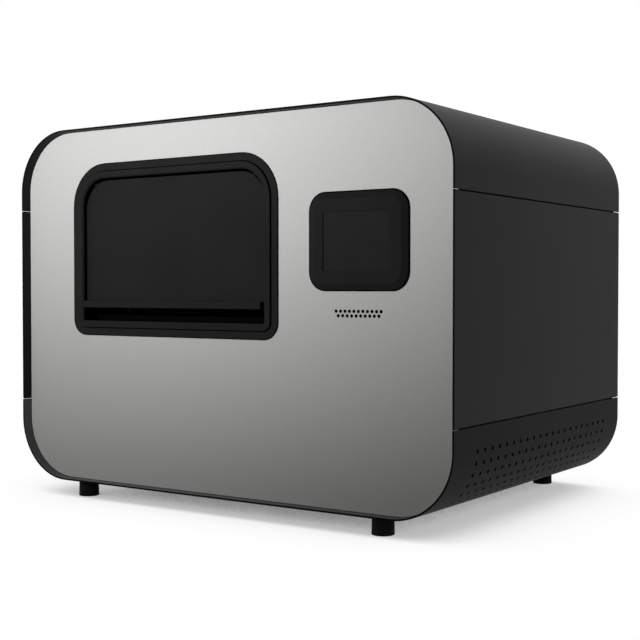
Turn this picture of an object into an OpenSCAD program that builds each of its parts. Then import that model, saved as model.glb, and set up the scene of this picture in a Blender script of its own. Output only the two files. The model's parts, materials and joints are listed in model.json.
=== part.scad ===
/* [Shell] */
// Width over the two side panels
body_w = 750; // [720:5:820]
// Depth from the shell's front edge to its rear edge
body_d = 545; // [530:5:600]
// Height of the shell without its feet
body_h = 525; // [505:5:570]
// Outside radius of the shell's four long corners
corner_r = 90; // [80:1:100]
// Sheet thickness of the shell
skin_t = 2.5; // [2:0.1:3]
// Height of the hinged top cover, from its lower edge to the top
cover_h = 117.5; // [112:0.5:124]
// Height of the bottom tray's sides
tray_h = 117.5; // [112:0.5:124]
// Open seam between the side panels and the cover or tray
seam_gap = 2; // [1.2:0.1:3]
// How far the front and rear plates sit behind the shell's edges
recess = 15; // [14:0.5:18]
// Thickness of the front and rear plates
plate_t = 3; // [2.5:0.1:4]
// Gap between a plate's edge and the shell
plate_gap = 0.5; // [0.3:0.1:0.8]

/* [Feet] */
// Height of a foot
foot_h = 24; // [18:1:30]
// Diameter of a foot at the floor
foot_d = 30; // [26:1:36]
// How much narrower a foot is at its top
foot_taper = 1.2; // [0:0.1:3]
// Distance of a foot's middle inwards from the tray's round corner
foot_inset_x = 25; // [20:1:45]
// Distance of a foot's middle from the shell's front or rear edge
foot_inset_y = 26.5; // [25:0.5:40]
// Diameter of a foot's screw
foot_screw_d = 6; // [5:0.5:8]
// Diameter of the head of a foot's screw
foot_head_d = 12; // [10:0.5:14]
// Depth of the pocket under a foot that hides the screw's head
foot_pocket = 8; // [6:0.5:12]

/* [Vents] */
// Rows of vent holes round each lower corner
vent_rows = 6; // [3:1:7]
// Vent holes in a row
vent_cols = 21; // [11:1:23]
// Distance between vent holes along a row
vent_pitch = 21; // [19:0.5:22]
// Diameter of a vent hole
vent_d = 5.8; // [3:0.1:7]
// Angle of the first row below the horizontal
vent_first = 2.4; // [0:0.1:5]
// Angle between rows
vent_step = 10; // [8:0.5:12]

/* [Paper outlet] */
// Centre of the outlet, and of the paper path, left of the middle
outlet_x = -86.25; // [-95:0.25:-75]
// Upper edge of the outlet frame below the shell's top
outlet_drop = 52.5; // [46:0.5:60]
// Width of the outlet frame
outlet_w = 380.5; // [374:0.5:390]
// Height of the outlet frame
outlet_h = 253.5; // [240:0.5:258]
// Outside radius of the frame's top corners
outlet_top_r = 63; // [56:1:70]
// Outside radius of the frame's bottom corners
outlet_bottom_r = 24; // [23:0.5:30]
// Width of the flat flange round the frame
flange_w = 10.7; // [9:0.1:13]
// Thickness of the flange on the front plate
flange_t = 1.2; // [0.8:0.1:2]
// Width of the groove between flange and ring
groove_w = 1.4; // [0.5:0.1:2]
// Width of the raised ring
ring_w = 9.9; // [8:0.1:10.5]
// How far the ring stands out of the front plate
ring_h = 3.8; // [3:0.1:5]
// Rounding of the ring's inner front edge
ring_round = 2.6; // [1.5:0.1:2.8]
// Rounding of the ring's outer front edge
ring_edge = 0.8; // [0.4:0.1:1]
// Wall of the sleeve that passes through the front plate
sleeve_t = 3.5; // [3:0.1:4.5]
// Depth of the sleeve behind the front plate's outer face
sleeve_depth = 25.5; // [20:0.5:30]
// Clear height of the paper slot under the flap
slot_h = 19; // [15:0.5:24]

/* [Outlet flap] */
// Gap between the flap's sides and the frame
flap_side_gap = 1.5; // [1:0.1:2.5]
// Gap between the flap's top and the frame
flap_top_gap = 3; // [2.5:0.1:4]
// How far the flap's face sits behind the front plate's face
flap_set_back = 2.8; // [2:0.1:4]
// Thickness of the flap
flap_t = 4; // [3.5:0.1:4.5]
// Radius of the flap's top corners
flap_corner_r = 43; // [43:1:50]
// Height of the lip along the flap's lower edge
lip_h = 10.3; // [8:0.1:12]
// How far the lip stands out of the flap's face
lip_out = 8.3; // [6:0.1:10]
// Radius of the hollow above the lip
lip_fillet = 2; // [1:0.5:4]
// How far the lip stops short of the flap's right side
lip_cut = 3.5; // [2:0.1:6]
// Distance of the hinge rod below the flap's top edge
rod_drop = 5; // [4.5:0.1:6]
// Diameter of the flap's hinge rod
flap_rod_d = 4; // [3:0.1:4.4]
// How far the hinge rod reaches into the frame's sleeve at each end
rod_hold = 4; // [3:0.1:5]

/* [Display] */
// Centre of the display, right of the middle
display_x = 229.85; // [222:0.25:238]
// Upper edge of the display bezel below the shell's top
display_drop = 112.3; // [105:0.1:120]
// Width of the display bezel
display_w = 150.7; // [144:0.1:158]
// Height of the display bezel
display_h = 127.8; // [120:0.1:134]
// Corner radius of the display bezel
display_r = 25; // [22:0.5:28]
// Width of the bezel's sloping edge
display_bevel = 10.5; // [8:0.1:13]
// How far the bezel stands out of the front plate
display_proud = 5; // [4:0.1:6]
// Height of the bezel's edge on the front plate
display_edge = 1.2; // [0.8:0.1:2]
// Width of the visible screen
screen_w = 98.5; // [90:0.1:104]
// Height of the visible screen
screen_h = 75; // [70:0.1:80]
// Depth of the screen below the bezel's face
screen_sink = 1.5; // [1:0.1:2.5]
// Distance of the screen's middle left of the bezel's middle
screen_off = 2.4; // [0:0.1:4]
// Border of the glass that the bezel covers
screen_lap = 3; // [2:0.1:4]
// Thickness of the glass
glass_t = 2; // [1.2:0.1:2.4]
// Depth of the display module behind the front plate's outer face
module_depth = 9; // [7:0.5:12]
// Sheet thickness of the clamp behind the display
clamp_t = 2; // [1.5:0.1:3]

/* [Speaker] */
// Distance of the first row of sound holes below the bezel
speaker_drop = 25.85; // [23:0.05:28]
// Holes in the first row, the second has one less
speaker_count = 11; // [7:1:13]
// Distance between sound holes
speaker_pitch = 6.8; // [6:0.1:7]
// Diameter of a sound hole
speaker_hole_d = 4.5; // [3:0.1:5]
// Height of the speaker's basket
speaker_h = 36; // [30:1:40]
// Depth of the speaker
speaker_depth = 22; // [18:1:28]

/* [Chassis] */
// Thickness of the steel base plate
base_t = 4; // [3:0.5:6]
// Distance of the base plate's edges from the tray's round corners
base_margin = 10; // [6:1:14]
// Leg of the corner posts
post_leg = 25; // [20:1:30]
// Sheet thickness of posts, rails and brackets
post_t = 3; // [2:0.5:4]
// How far the seam rails reach up behind the side panels
rail_lap = 20; // [15:1:25]
// Distance of the seam rails from the tray's round corners
rail_margin = 6; // [4:1:8]
// Leg of the brackets between base plate and front or rear plate
bracket_leg = 40; // [30:1:44]
// Width of those brackets
bracket_w = 50; // [40:1:60]
// Distance of those brackets from the middle
bracket_x = 215; // [205:1:225]
// Diameter of the cover's rubber bumpers
bumper_d = 16; // [12:0.5:20]
// Height of the cover's rubber bumpers
bumper_h = 8; // [6:0.5:12]
// Distance of the bumpers from the middle
bumper_x = 230; // [215:1:240]

/* [Cover hinges] */
// Distance of the cover's hinges from the middle
hinge_x = 200; // [170:1:220]
// Length of a hinge
hinge_l = 90; // [70:1:110]
// Diameter of a hinge's barrel
hinge_d = 10; // [8:0.5:10]
// Diameter of a hinge's pin
hinge_pin_d = 5; // [4:0.1:5.5]
// Thickness of a hinge's leaves
leaf_t = 2; // [1.5:0.1:2.2]
// Height of the fixed leaf on the rear plate
leaf_h = 32; // [25:1:40]
// Gap between the barrel and a leaf that turns past it
leaf_gap = 0.5; // [0.3:0.1:0.7]

/* [Paper path] */
// Widest paper
paper_w = 330; // [320:1:332]
// Clear width between the mechanism's side frames
frame_gap = 360; // [358:1:364]
// Thickness of the side frames
frame_t = 6; // [5:0.5:8]
// Reach of the side frames in front of the embossing cylinders
frame_front = 150; // [145:1:160]
// Reach of the side frames behind the embossing cylinders
frame_back = 205; // [200:1:210]
// Height of the side frames above the paper
frame_above = 88; // [84:1:100]
// Width of the side frames' feet
frame_foot = 40; // [30:1:45]
// Diameter of the bars between the side frames
tie_d = 16; // [12:1:20]
// Distance of those bars from the side frames' edges
tie_inset = 18; // [14:1:22]
// Sheet thickness of the paper guides
guide_t = 1.5; // [1:0.1:2.5]
// Depth of the paper guides' turned edges
guide_edge = 12; // [8:1:16]
// Height of the paper above the guides
guide_drop = 2; // [1:0.1:3]
// Gap between the paper guides and what turns or slides beside them
guide_gap = 4; // [3:0.5:5]
// Height of the paper inlet in the rear plate
inlet_h = 24; // [18:1:30]

/* [Embossing cylinders] */
// Gear module of the cylinder gears
gear_module = 2; // [1.9:0.05:2.1]
// Teeth on each cylinder gear
gear_teeth = 35; // [34:1:36]
// Width of the cylinder gears
gear_w = 12; // [8:1:16]
// Room between the cylinders for paper
nip = 0.6; // [0.4:0.1:1]
// Length of the embossing cylinders
cylinder_l = 340; // [334:1:344]
// Diameter of the cylinders' shafts
cylinder_shaft_d = 24; // [20:0.5:26]
// Wall of a cylinder shaft's bearing
cylinder_bearing = 7; // [5:0.5:8]
// Teeth on the cylinder's belt pulley
cylinder_teeth = 64; // [60:1:68]
// Teeth on the main motor's belt pulley
motor_teeth = 24; // [22:1:26]
// Width of the main belt's pulleys
main_pulley_w = 18; // [14:1:22]
// Main motor's place behind the cylinders
motor_y = 70; // [60:1:80]
// Main motor's axis above the base plate
motor_lift = 75; // [68:1:84]
// Main motor's diameter
motor_d = 84; // [70:1:90]
// Main motor's length
motor_l = 140; // [110:1:160]
// Main motor's shaft diameter
motor_shaft_d = 14; // [10:0.5:16]

/* [Tractors] */
// Tractor shaft's place behind the embossing cylinders
tractor_y = 112; // [109:1:114]
// Pins on a tractor wheel, one for each paper hole
pin_count = 16; // [15:1:16]
// Distance between the paper's edge holes
pin_pitch = 12.7; // [12.5:0.1:12.9]
// Distance of the holes from the paper's edge
pin_edge = 6.35; // [6:0.05:7]
// Height of a pin above its wheel
pin_h = 3.2; // [2.5:0.1:3.6]
// Diameter of a pin at its root
pin_d = 3.8; // [3:0.1:4]
// Width of a pin wheel
wheel_w = 8; // [6:0.5:9]
// Diameter of a pin wheel's hub
hub_d = 27; // [25:0.5:30]
// Side of the square tractor shaft
square_d = 16; // [14:0.5:17]
// Sliding gap between a wheel and the square shaft
square_gap = 0.15; // [0.1:0.05:0.3]
// Wall of the tractor shaft's bearing
tractor_bearing = 6; // [5:0.5:7]
// Thickness of a tractor's side plate
tractor_t = 6; // [5:0.5:7]
// Running gap beside turning parts
side_gap = 0.6; // [0.4:0.1:1]
// Distance of the guide rod behind the tractor shaft
guide_rod_dy = 47; // [46:0.5:49]
// Diameter of the guide rod
guide_rod_d = 12; // [10:0.5:12]
// Wall round the guide rod
guide_boss = 3.5; // [3:0.1:4]
// Length of a tractor's door
door_l = 56; // [48:1:60]
// Width of a tractor's door, inwards from its hinge
door_w = 27; // [24:0.5:30]
// Thickness of a tractor's door
door_t = 3; // [2.5:0.1:3.5]
// Room for paper under a tractor's door
door_gap = 0.8; // [0.5:0.1:1.2]
// Diameter of a door's hinge pin
door_pin_d = 3; // [2.5:0.1:3.2]
// Thickness of the lugs that hold a door's pin
lug_t = 4; // [3:0.5:5]

/* [Exit rollers] */
// Exit rollers' place in front of the embossing cylinders
exit_y = 100; // [96:1:108]
// Diameter of the exit rollers' shafts
exit_shaft_d = 10; // [8:0.5:11]
// Wall of an exit shaft's bearing
exit_bearing = 4; // [3:0.5:4]
// Nip between the exit rollers
exit_nip = 0.4; // [0.2:0.1:0.6]

/* [Feed drive] */
// Teeth on the tractor shaft's pulley
tractor_teeth = 48; // [46:1:50]
// Teeth on the exit roller's pulley
exit_teeth = 18; // [18:1:19]
// Teeth on the feed motor's pulley
feed_teeth = 20; // [18:1:22]
// Width of the feed belt's pulleys
feed_pulley_w = 14; // [12:1:18]
// Feed motor's place behind the cylinders
feed_y = 10; // [0:1:20]
// Feed motor's axis above the base plate
feed_lift = 80; // [70:1:88]
// Side of the feed motor
feed_w = 57; // [50:1:60]
// Length of the feed motor
feed_l = 76; // [56:1:84]
// Feed motor's shaft diameter
feed_shaft_d = 8; // [6:0.5:10]

/* [Belts and fits] */
// Tooth pitch of both belts
belt_pitch = 4; // [3.9:0.05:4.1]
// Thickness of the belts
belt_t = 2; // [1.5:0.1:2.5]
// Gap between a belt and its pulleys
belt_gap = 0.3; // [0.2:0.05:0.4]
// How far a pulley's rims stand above its belt
rim_h = 0.8; // [0.5:0.1:1.2]
// Thickness of a pulley's rims
rim_t = 1.5; // [1:0.1:2]
// Radial clearance of shafts, hinge pins and bearings
fit = 0.05; // [0.03:0.01:0.08]
// Thickness of the bearings' flanges
bearing_rim = 2; // [1.5:0.1:2.5]
// Gap between pieces that lie side by side on a shaft
shaft_gap = 1; // [0.6:0.1:1.5]

/* [Electronics] */
// Width of the power supply
psu_w = 110; // [90:1:115]
// Length of the power supply
psu_l = 200; // [160:5:240]
// Height of the power supply
psu_h = 62; // [50:1:75]
// Distance of the power supply from the feed belt
psu_gap = 25; // [20:1:28]
// Centre of the control board, right of the middle
board_x = 240; // [232:1:248]
// Lower edge of the control board above the shell's underside
board_lift = 235; // [225:1:245]
// Width of the control board
board_w = 180; // [160:1:190]
// Height of the control board
board_h = 150; // [130:1:160]
// Thickness of the control board
board_t = 1.6; // [1.2:0.1:2]
// Length of the control board's standoffs
standoff_l = 12; // [10:0.5:14]
// Diameter of those standoffs
standoff_d = 6; // [5:0.5:8]
// Gap round what passes through the rear plate
cutout_gap = 0.3; // [0.2:0.1:0.6]
// How far the ports stand out of the rear plate
port_proud = 1; // [0.5:0.1:2]

/* [Fan and power inlet] */
// Side of the fan
fan_w = 80; // [70:1:82]
// Depth of the fan
fan_t = 25; // [20:1:30]
// Diameter of the fan's duct
fan_duct_d = 74; // [66:0.5:74]
// Diameter of the fan's hub
fan_hub_d = 32; // [28:1:36]
// Blades of the fan
fan_blades = 7; // [5:1:9]
// Gap between the blades and the duct
fan_gap = 1; // [0.8:0.1:1.5]
// Centre of the fan, right of the middle
fan_x = 255; // [248:1:262]
// Centre of the fan above the shell's underside
fan_lift = 118; // [112:1:124]
// Diameter of the fan's grille holes
grille_d = 5; // [4:0.1:5.5]
// Distance between rings of grille holes
grille_step = 7.6; // [7:0.1:8]
// Centre of the power inlet, right of the middle
inlet_x = 160; // [152:1:170]
// Centre of the power inlet above the shell's underside
inlet_lift = 90; // [84:1:98]
// Width of the inlet's cover plate
inlet_w = 31; // [30:0.5:34]
// Height of the inlet's cover plate
inlet_face_h = 62; // [60:0.5:66]
// Thickness of the inlet's cover plate
inlet_face_t = 3; // [2:0.1:4]
// Depth of the inlet behind the rear plate's outer face
inlet_depth = 26; // [24:1:32]
// Width of the plug opening
socket_w = 24; // [23:0.1:25]
// Height of the plug opening
socket_h = 16.5; // [16:0.1:17]
// Depth of the plug opening
socket_depth = 16; // [14:0.5:18]
// Width of the power rocker
rocker_w = 19; // [17:0.5:20]
// Height of the power rocker
rocker_h = 13; // [12:0.5:14]
// Tilt of the power rocker either way from level
rocker_tilt = 8; // [5:0.5:10]
// Diameter of the rocker's pivot
rocker_pin_d = 3; // [2.5:0.1:3.5]

/* [Hidden] */
$fn = 48;
// How far cutting shapes reach past what they cut
over = 1;
// Shell: heights from the floor, depths from the middle
half_w = body_w / 2;
half_d = body_d / 2;
shell_z = foot_h;
shell_top = shell_z + body_h;
inner_x = half_w - skin_t;
floor_z = shell_z + skin_t;
base_top = floor_z + base_t;
tray_top = shell_z + tray_h;
panel_bottom = tray_top + seam_gap;
cover_bottom = shell_top - cover_h;
panel_top = cover_bottom - seam_gap;
front_face = recess - half_d;
front_in = front_face + plate_t;
rear_face = half_d - recess;
rear_in = rear_face - plate_t;
plate_inset = skin_t + plate_gap;
rail_bottom = shell_z + corner_r + rail_margin;
rail_top = panel_bottom + rail_lap;
base_half = half_w - corner_r - base_margin;
foot_x = half_w - corner_r - foot_inset_x;
foot_y = half_d - foot_inset_y;
// Outlet and flap
outlet_z = shell_top - outlet_drop - outlet_h;
outlet_rim = flange_w + groove_w + ring_w;
opening_w = outlet_w - 2 * outlet_rim;
opening_bottom = outlet_z + outlet_rim;
opening_top = outlet_z + outlet_h - outlet_rim;
sleeve_back = front_face + sleeve_depth;
flap_w = opening_w - 2 * flap_side_gap;
flap_bottom = opening_bottom + slot_h;
flap_top = opening_top - flap_top_gap;
flap_y = front_face + flap_set_back;
flap_rod_y = flap_y + flap_t;
flap_rod_z = flap_top - rod_drop;
flap_rod_r = flap_rod_d / 2;
// Half width of a top corner's arc at a height below its top edge
function arc_half(w, r, drop) = w / 2 - r + sqrt(r * r - (r - drop) * (r - drop));
flap_barrel = 2 * (arc_half(flap_w, flap_corner_r, rod_drop) - flap_t);
rod_reach = arc_half(opening_w, outlet_top_r - outlet_rim, opening_top - flap_rod_z + flap_rod_r);
flap_rod_l = 2 * (rod_reach + rod_hold);
// Display
display_z = shell_top - display_drop - display_h;
screen_x = display_x - screen_off;
screen_z = display_z + display_h / 2;
glass_w = screen_w + 2 * screen_lap;
glass_h = screen_h + 2 * screen_lap;
speaker_z = display_z - speaker_drop;
speaker_row = speaker_pitch * sin(60);
// Paper path
path_x = outlet_x;
paper_z = opening_bottom + slot_h / 2;
left_in = path_x - frame_gap / 2;
left_out = left_in - frame_t;
right_in = path_x + frame_gap / 2;
right_out = right_in + frame_t;
frame_top = paper_z + frame_above;
guide_top = paper_z - guide_drop;
// Embossing cylinders
gear_r = gear_module * gear_teeth / 2;
cylinder_r = gear_r - nip / 2;
cylinder_shaft_r = cylinder_shaft_d / 2;
lower_z = paper_z - gear_r;
upper_z = paper_z + gear_r;
motor_z = base_top + motor_lift;
motor_shaft_r = motor_shaft_d / 2;
gear_x1 = left_out - bearing_rim - shaft_gap;
gear_x0 = gear_x1 - gear_w;
main_x1 = gear_x0 - shaft_gap;
main_x0 = main_x1 - main_pulley_w;
// Tractors
pin_circle = pin_count * pin_pitch / 360 * 180 / PI;
wheel_drop = 0.5;
wheel_r = pin_circle - wheel_drop;
tractor_z = paper_z - pin_circle;
pin_span = paper_w - 2 * pin_edge;
hub_r = hub_d / 2;
tractor_in = wheel_w / 2 + side_gap;
tractor_out = tractor_in + tractor_t;
guide_rod_y = tractor_y + guide_rod_dy;
guide_rod_r = guide_rod_d / 2;
tractor_shaft_r = square_d / 2;
lug_wall = 2.5;
barrel_wall = 1.5;
lug_r = door_pin_d / 2 + lug_wall;
door_barrel_r = door_pin_d / 2 + barrel_wall;
door_axis_u = tractor_out + lug_r;
door_axis_z = pin_circle + door_gap + door_t / 2;
// Exit rollers and feed drive
exit_r = pin_circle * exit_teeth / tractor_teeth;
exit_shaft_r = exit_shaft_d / 2;
exit_z = paper_z - exit_r;
pinch_z = paper_z + exit_r + exit_nip;
feed_z = base_top + feed_lift;
feed_shaft_r = feed_shaft_d / 2;
feed_x0 = right_out + bearing_rim + shaft_gap;
feed_x1 = feed_x0 + feed_pulley_w;
// Each shaft's place in depth and height, its radius and its bearing's wall
lower_shaft = [0, lower_z, cylinder_shaft_r, cylinder_bearing];
upper_shaft = [0, upper_z, cylinder_shaft_r, cylinder_bearing];
feed_shaft = [tractor_y, tractor_z, tractor_shaft_r, tractor_bearing];
exit_shaft = [-exit_y, exit_z, exit_shaft_r, exit_bearing];
pinch_shaft = [-exit_y, pinch_z, exit_shaft_r, exit_bearing];
shafts = [lower_shaft, upper_shaft, feed_shaft, exit_shaft, pinch_shaft];
// Drum radius of a belt pulley, and the pulleys that each belt runs round, anticlockwise
function drum(teeth) = teeth * belt_pitch / (2 * PI) - belt_gap;
main_run = [[motor_y, motor_z, drum(motor_teeth)], [0, lower_z, drum(cylinder_teeth)]];
feed_run = [
    [feed_y, feed_z, drum(feed_teeth)],
    [tractor_y, tractor_z, drum(tractor_teeth)],
    [-exit_y, exit_z, drum(exit_teeth)]
];
// Cover hinges
hinge_r = hinge_d / 2;
hinge_pin_r = hinge_pin_d / 2;
hinge_y = rear_face + leaf_t + leaf_gap + hinge_r;
hinge_z = shell_top - skin_t - leaf_t - leaf_gap - hinge_r;
knuckle_l = hinge_l / 3;
// Electronics
psu_x = feed_x1 + psu_gap;
board_z = shell_z + board_lift;
board_y = rear_in - standoff_l;
fan_z = shell_z + fan_lift;
inlet_z = shell_z + inlet_lift;
socket_z = inlet_z - inlet_face_h / 4;
rocker_z = inlet_z + inlet_face_h / 4;
rocker_y = rear_face + inlet_face_t - rocker_pin_d;
rocker_pin_r = rocker_pin_d / 2;
rocker_hold = 2;
inlet_wall = 1.5;
inlet_lap = 4;
inlet_body = [socket_w + 2 * inlet_wall, inlet_face_h - 2 * inlet_lap];
spider_t = 4;
fan_pin_r = 2.5;
// Ports of the control board: place along it and height, width and height of the shell, then of its opening
ports = [
    [-38, 18, 16, 14, 12, 11],
    [-12, 16, 13, 12, 9, 8]
];
rest_top = shell_top - skin_t - cutout_gap - bumper_h;
shaft_stub = frame_t + bearing_rim + shaft_gap;
// Depth of the bore in a motor for its shaft
motor_bore = 36;
// Cylinder gears: pressure angle, angle taken off each flank for play, tooth depth below the pitch circle
pressure = 20;
backlash = 0.25;
dedendum = 1.25;

// Width and height of a rectangle with a gap added on all sides
function grown(size, gap) = size + [2 * gap, 2 * gap];

// Extrudes a side view, drawn in depth and height, from x0 to x1
module along_x(x0, x1) {
    translate([x0, 0, 0]) rotate([90, 0, 90]) linear_extrude(x1 - x0) children();
}

// Extrudes a front view, drawn in width and height, from y0 to y1
module along_y(y0, y1) {
    translate([0, y1, 0]) rotate([90, 0, 0]) linear_extrude(y1 - y0) children();
}

// Round bar along X
module bar(x0, x1, y, z, r) {
    translate([x0, y, z]) rotate([0, 90, 0]) cylinder(h = x1 - x0, r = r);
}

// Box from its lowest to its highest corner
module block(low, high) {
    translate(low) cube(high - low);
}

// Rectangle with round corners, centred
module round_rect(w, h, r) {
    square([w - 2 * r, h], center = true);
    square([w, h - 2 * r], center = true);
    for (sx = [-1, 1], sy = [-1, 1])
        translate([sx * (w / 2 - r), sy * (h / 2 - r)]) circle(r);
}

// Shell's front view, drawn smaller by inset on all sides
module shell_outline(inset) {
    translate([0, shell_z + body_h / 2])
        round_rect(body_w - 2 * inset, body_h - 2 * inset, corner_r - inset);
}

// Sheet of the shell between two heights
module shell_sheet(low, high) {
    along_y(-half_d, half_d) intersection() {
        difference() {
            shell_outline(0);
            shell_outline(skin_t);
        }
        translate([-half_w, low]) square([body_w, high - low]);
    }
}

// Rows of vent holes round the lower corner on one side
module vent_holes(side) {
    for (row = [0 : vent_rows - 1], col = [0 : vent_cols - 1]) {
        y = (col - (vent_cols - 1) / 2) * vent_pitch;
        translate([side * (half_w - corner_r), y, shell_z + corner_r])
            rotate([0, side * (90 + vent_first + row * vent_step), 0])
                translate([0, 0, corner_r - 2 * skin_t])
                    cylinder(h = 3 * skin_t, d = vent_d);
    }
}

module bottom_tray() {
    color([0.17, 0.17, 0.18]) difference() {
        shell_sheet(shell_z, tray_top);
        vent_holes(-1);
        vent_holes(1);
        at_feet() cylinder(h = 3 * skin_t, d = foot_screw_d + 2 * fit, center = true);
    }
}

// Flat sheet between the seams on one side
module side_panel(side) {
    color([0.17, 0.17, 0.18]) block(
        [side > 0 ? inner_x : -half_w, -half_d, panel_bottom],
        [side > 0 ? half_w : -inner_x, half_d, panel_top]);
}

module left_side_panel() {
    side_panel(-1);
}

module right_side_panel() {
    side_panel(1);
}

module top_cover() {
    color([0.17, 0.17, 0.18]) shell_sheet(cover_bottom, shell_top);
}

// Outlet frame's front view, drawn smaller by inset on all sides
module outlet_outline(inset) {
    half = outlet_w / 2 - inset;
    low = outlet_z + inset;
    high = outlet_z + outlet_h - inset;
    top_r = outlet_top_r - inset;
    bottom_r = outlet_bottom_r - inset;
    translate([outlet_x, 0]) {
        translate([-half, low + bottom_r]) square([2 * half, high - low - bottom_r - top_r]);
        translate([top_r - half, low]) square([2 * (half - top_r), high - low]);
        translate([bottom_r - half, low]) square([2 * (half - bottom_r), bottom_r]);
        for (side = [-1, 1]) {
            translate([side * (half - top_r), high - top_r]) circle(top_r);
            translate([side * (half - bottom_r), low + bottom_r]) circle(bottom_r);
        }
    }
}

// Sound holes in two staggered rows
module sound_holes() {
    for (row = [0, 1], i = [0 : speaker_count - 1 - row])
        translate([
            display_x + (i - (speaker_count - 1 - row) / 2) * speaker_pitch,
            speaker_z - row * speaker_row
        ]) circle(d = speaker_hole_d);
}

module front_plate() {
    color([0.68, 0.68, 0.67]) along_y(front_face, front_in) difference() {
        shell_outline(plate_inset);
        outlet_outline(outlet_rim - sleeve_t - plate_gap);
        translate([screen_x, screen_z]) square(grown([glass_w, glass_h], plate_gap), center = true);
        sound_holes();
    }
}

// Fan grille of rings of round holes
module grille_holes() {
    circle(d = grille_d);
    for (ring = [1 : floor((fan_duct_d - grille_d) / 2 / grille_step)], i = [0 : 6 * ring - 1])
        rotate(i * 60 / ring) translate([ring * grille_step, 0]) circle(d = grille_d);
}

module rear_plate() {
    color([0.17, 0.17, 0.18]) along_y(rear_in, rear_face) difference() {
        shell_outline(plate_inset);
        translate([path_x, paper_z]) square([opening_w, inlet_h], center = true);
        translate([fan_x, fan_z]) grille_holes();
        translate([inlet_x, inlet_z]) square(grown(inlet_body, cutout_gap), center = true);
        for (p = ports)
            translate([board_x + p[0], board_z + p[1]])
                square(grown([p[2], p[3]], cutout_gap), center = true);
    }
}

// Puts its children on the tray's underside at each foot
module at_feet() {
    for (sx = [-1, 1], sy = [-1, 1])
        translate([sx * foot_x, sy * foot_y, shell_z]) children();
}

module rubber_feet() {
    color([0.06, 0.06, 0.06]) at_feet() translate([0, 0, -foot_h]) difference() {
        cylinder(h = foot_h, d1 = foot_d, d2 = foot_d - foot_taper);
        translate([0, 0, -over]) cylinder(h = foot_pocket + over, d = foot_head_d + 2 * cutout_gap);
        cylinder(h = foot_h + over, d = foot_screw_d + 2 * fit);
    }
}

module foot_screws() {
    head_h = foot_screw_d / 2;
    color([0.6, 0.6, 0.62]) at_feet() translate([0, 0, foot_pocket - foot_h]) {
        translate([0, 0, -head_h]) difference() {
            cylinder(h = head_h, d = foot_head_d);
            translate([0, 0, -over]) cylinder(h = over + head_h / 2, d = foot_screw_d / 2, $fn = 6);
        }
        cylinder(h = foot_h - foot_pocket + skin_t + base_t, d = foot_screw_d);
    }
}

module base_plate() {
    color([0.55, 0.56, 0.58]) difference() {
        block([-base_half, front_in, floor_z], [base_half, rear_in, base_top]);
        at_feet() cylinder(h = 4 * (skin_t + base_t), d = foot_screw_d + 2 * fit, center = true);
    }
}

// Angle along Z in the corner at the origin, with its legs along +X and +Y
module angle_post(leg, t, h) {
    cube([leg, t, h]);
    cube([t, leg, h]);
}

module corner_posts() {
    color([0.55, 0.56, 0.58]) for (sx = [-1, 1], sy = [-1, 1])
        translate([sx * inner_x, sy * rear_in, rail_top])
            mirror([sx > 0 ? 1 : 0, 0, 0]) mirror([0, sy > 0 ? 1 : 0, 0])
                angle_post(post_leg, post_t, panel_top - rail_top);
}

module seam_rails() {
    color([0.17, 0.17, 0.18]) for (side = [-1, 1])
        block(
            [side > 0 ? inner_x - post_t : -inner_x, front_in, rail_bottom],
            [side > 0 ? inner_x : post_t - inner_x, rear_in, rail_top]);
}

module plate_brackets() {
    color([0.55, 0.56, 0.58]) for (sx = [-1, 1], sy = [-1, 1])
        translate([sx * bracket_x, sy * rear_in, base_top])
            mirror([0, sy > 0 ? 1 : 0, 0]) translate([-bracket_w / 2, 0, 0]) {
                cube([bracket_w, bracket_leg, post_t]);
                cube([bracket_w, post_t, bracket_leg]);
            }
}

module cover_rests() {
    color([0.55, 0.56, 0.58]) for (side = [-1, 1])
        translate([side * bumper_x - bumper_d, front_in, rest_top]) {
            translate([0, 0, -post_t]) cube([2 * bumper_d, 2 * bumper_d, post_t]);
            translate([0, 0, -2 * bumper_d]) cube([2 * bumper_d, post_t, 2 * bumper_d]);
        }
}

module cover_bumpers() {
    top_d = bumper_d - bumper_h / 2;
    color([0.06, 0.06, 0.06]) for (side = [-1, 1])
        translate([side * bumper_x, front_in + post_t / 2 + bumper_d, rest_top]) {
            cylinder(h = bumper_h / 2, d = bumper_d);
            translate([0, 0, bumper_h / 2]) cylinder(h = bumper_h / 2, d1 = bumper_d, d2 = top_d);
        }
}

// Puts its children at each cover hinge's axis
module at_hinges() {
    for (side = [-1, 1])
        translate([side * hinge_x, hinge_y, hinge_z]) children();
}

module hinge_fixed_leaves() {
    leaf_y = -hinge_r - leaf_gap;
    color([0.55, 0.56, 0.58]) at_hinges() difference() {
        union() {
            block([-hinge_l / 2, leaf_y - leaf_t, -leaf_h], [hinge_l / 2, leaf_y, -leaf_gap]);
            bar(-knuckle_l / 2, knuckle_l / 2, 0, 0, hinge_r);
            block([-knuckle_l / 2, leaf_y - leaf_t, -hinge_r], [knuckle_l / 2, 0, -leaf_gap]);
        }
        bar(-hinge_l, hinge_l, 0, 0, hinge_pin_r + fit);
    }
}

module hinge_moving_leaves() {
    leaf_low = hinge_r + leaf_gap;
    color([0.55, 0.56, 0.58]) at_hinges() difference() {
        union() {
            block([-hinge_l / 2, -hinge_r, leaf_low], [hinge_l / 2, hinge_r + leaf_gap, leaf_low + leaf_t]);
            for (side = [-1, 1]) {
                x0 = side > 0 ? knuckle_l / 2 + leaf_gap : -hinge_l / 2;
                x1 = side > 0 ? hinge_l / 2 : -knuckle_l / 2 - leaf_gap;
                bar(x0, x1, 0, 0, hinge_r);
                block([x0, 0, 0], [x1, hinge_r, leaf_low + leaf_t]);
            }
        }
        bar(-hinge_l, hinge_l, 0, 0, hinge_pin_r + fit);
    }
}

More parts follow.
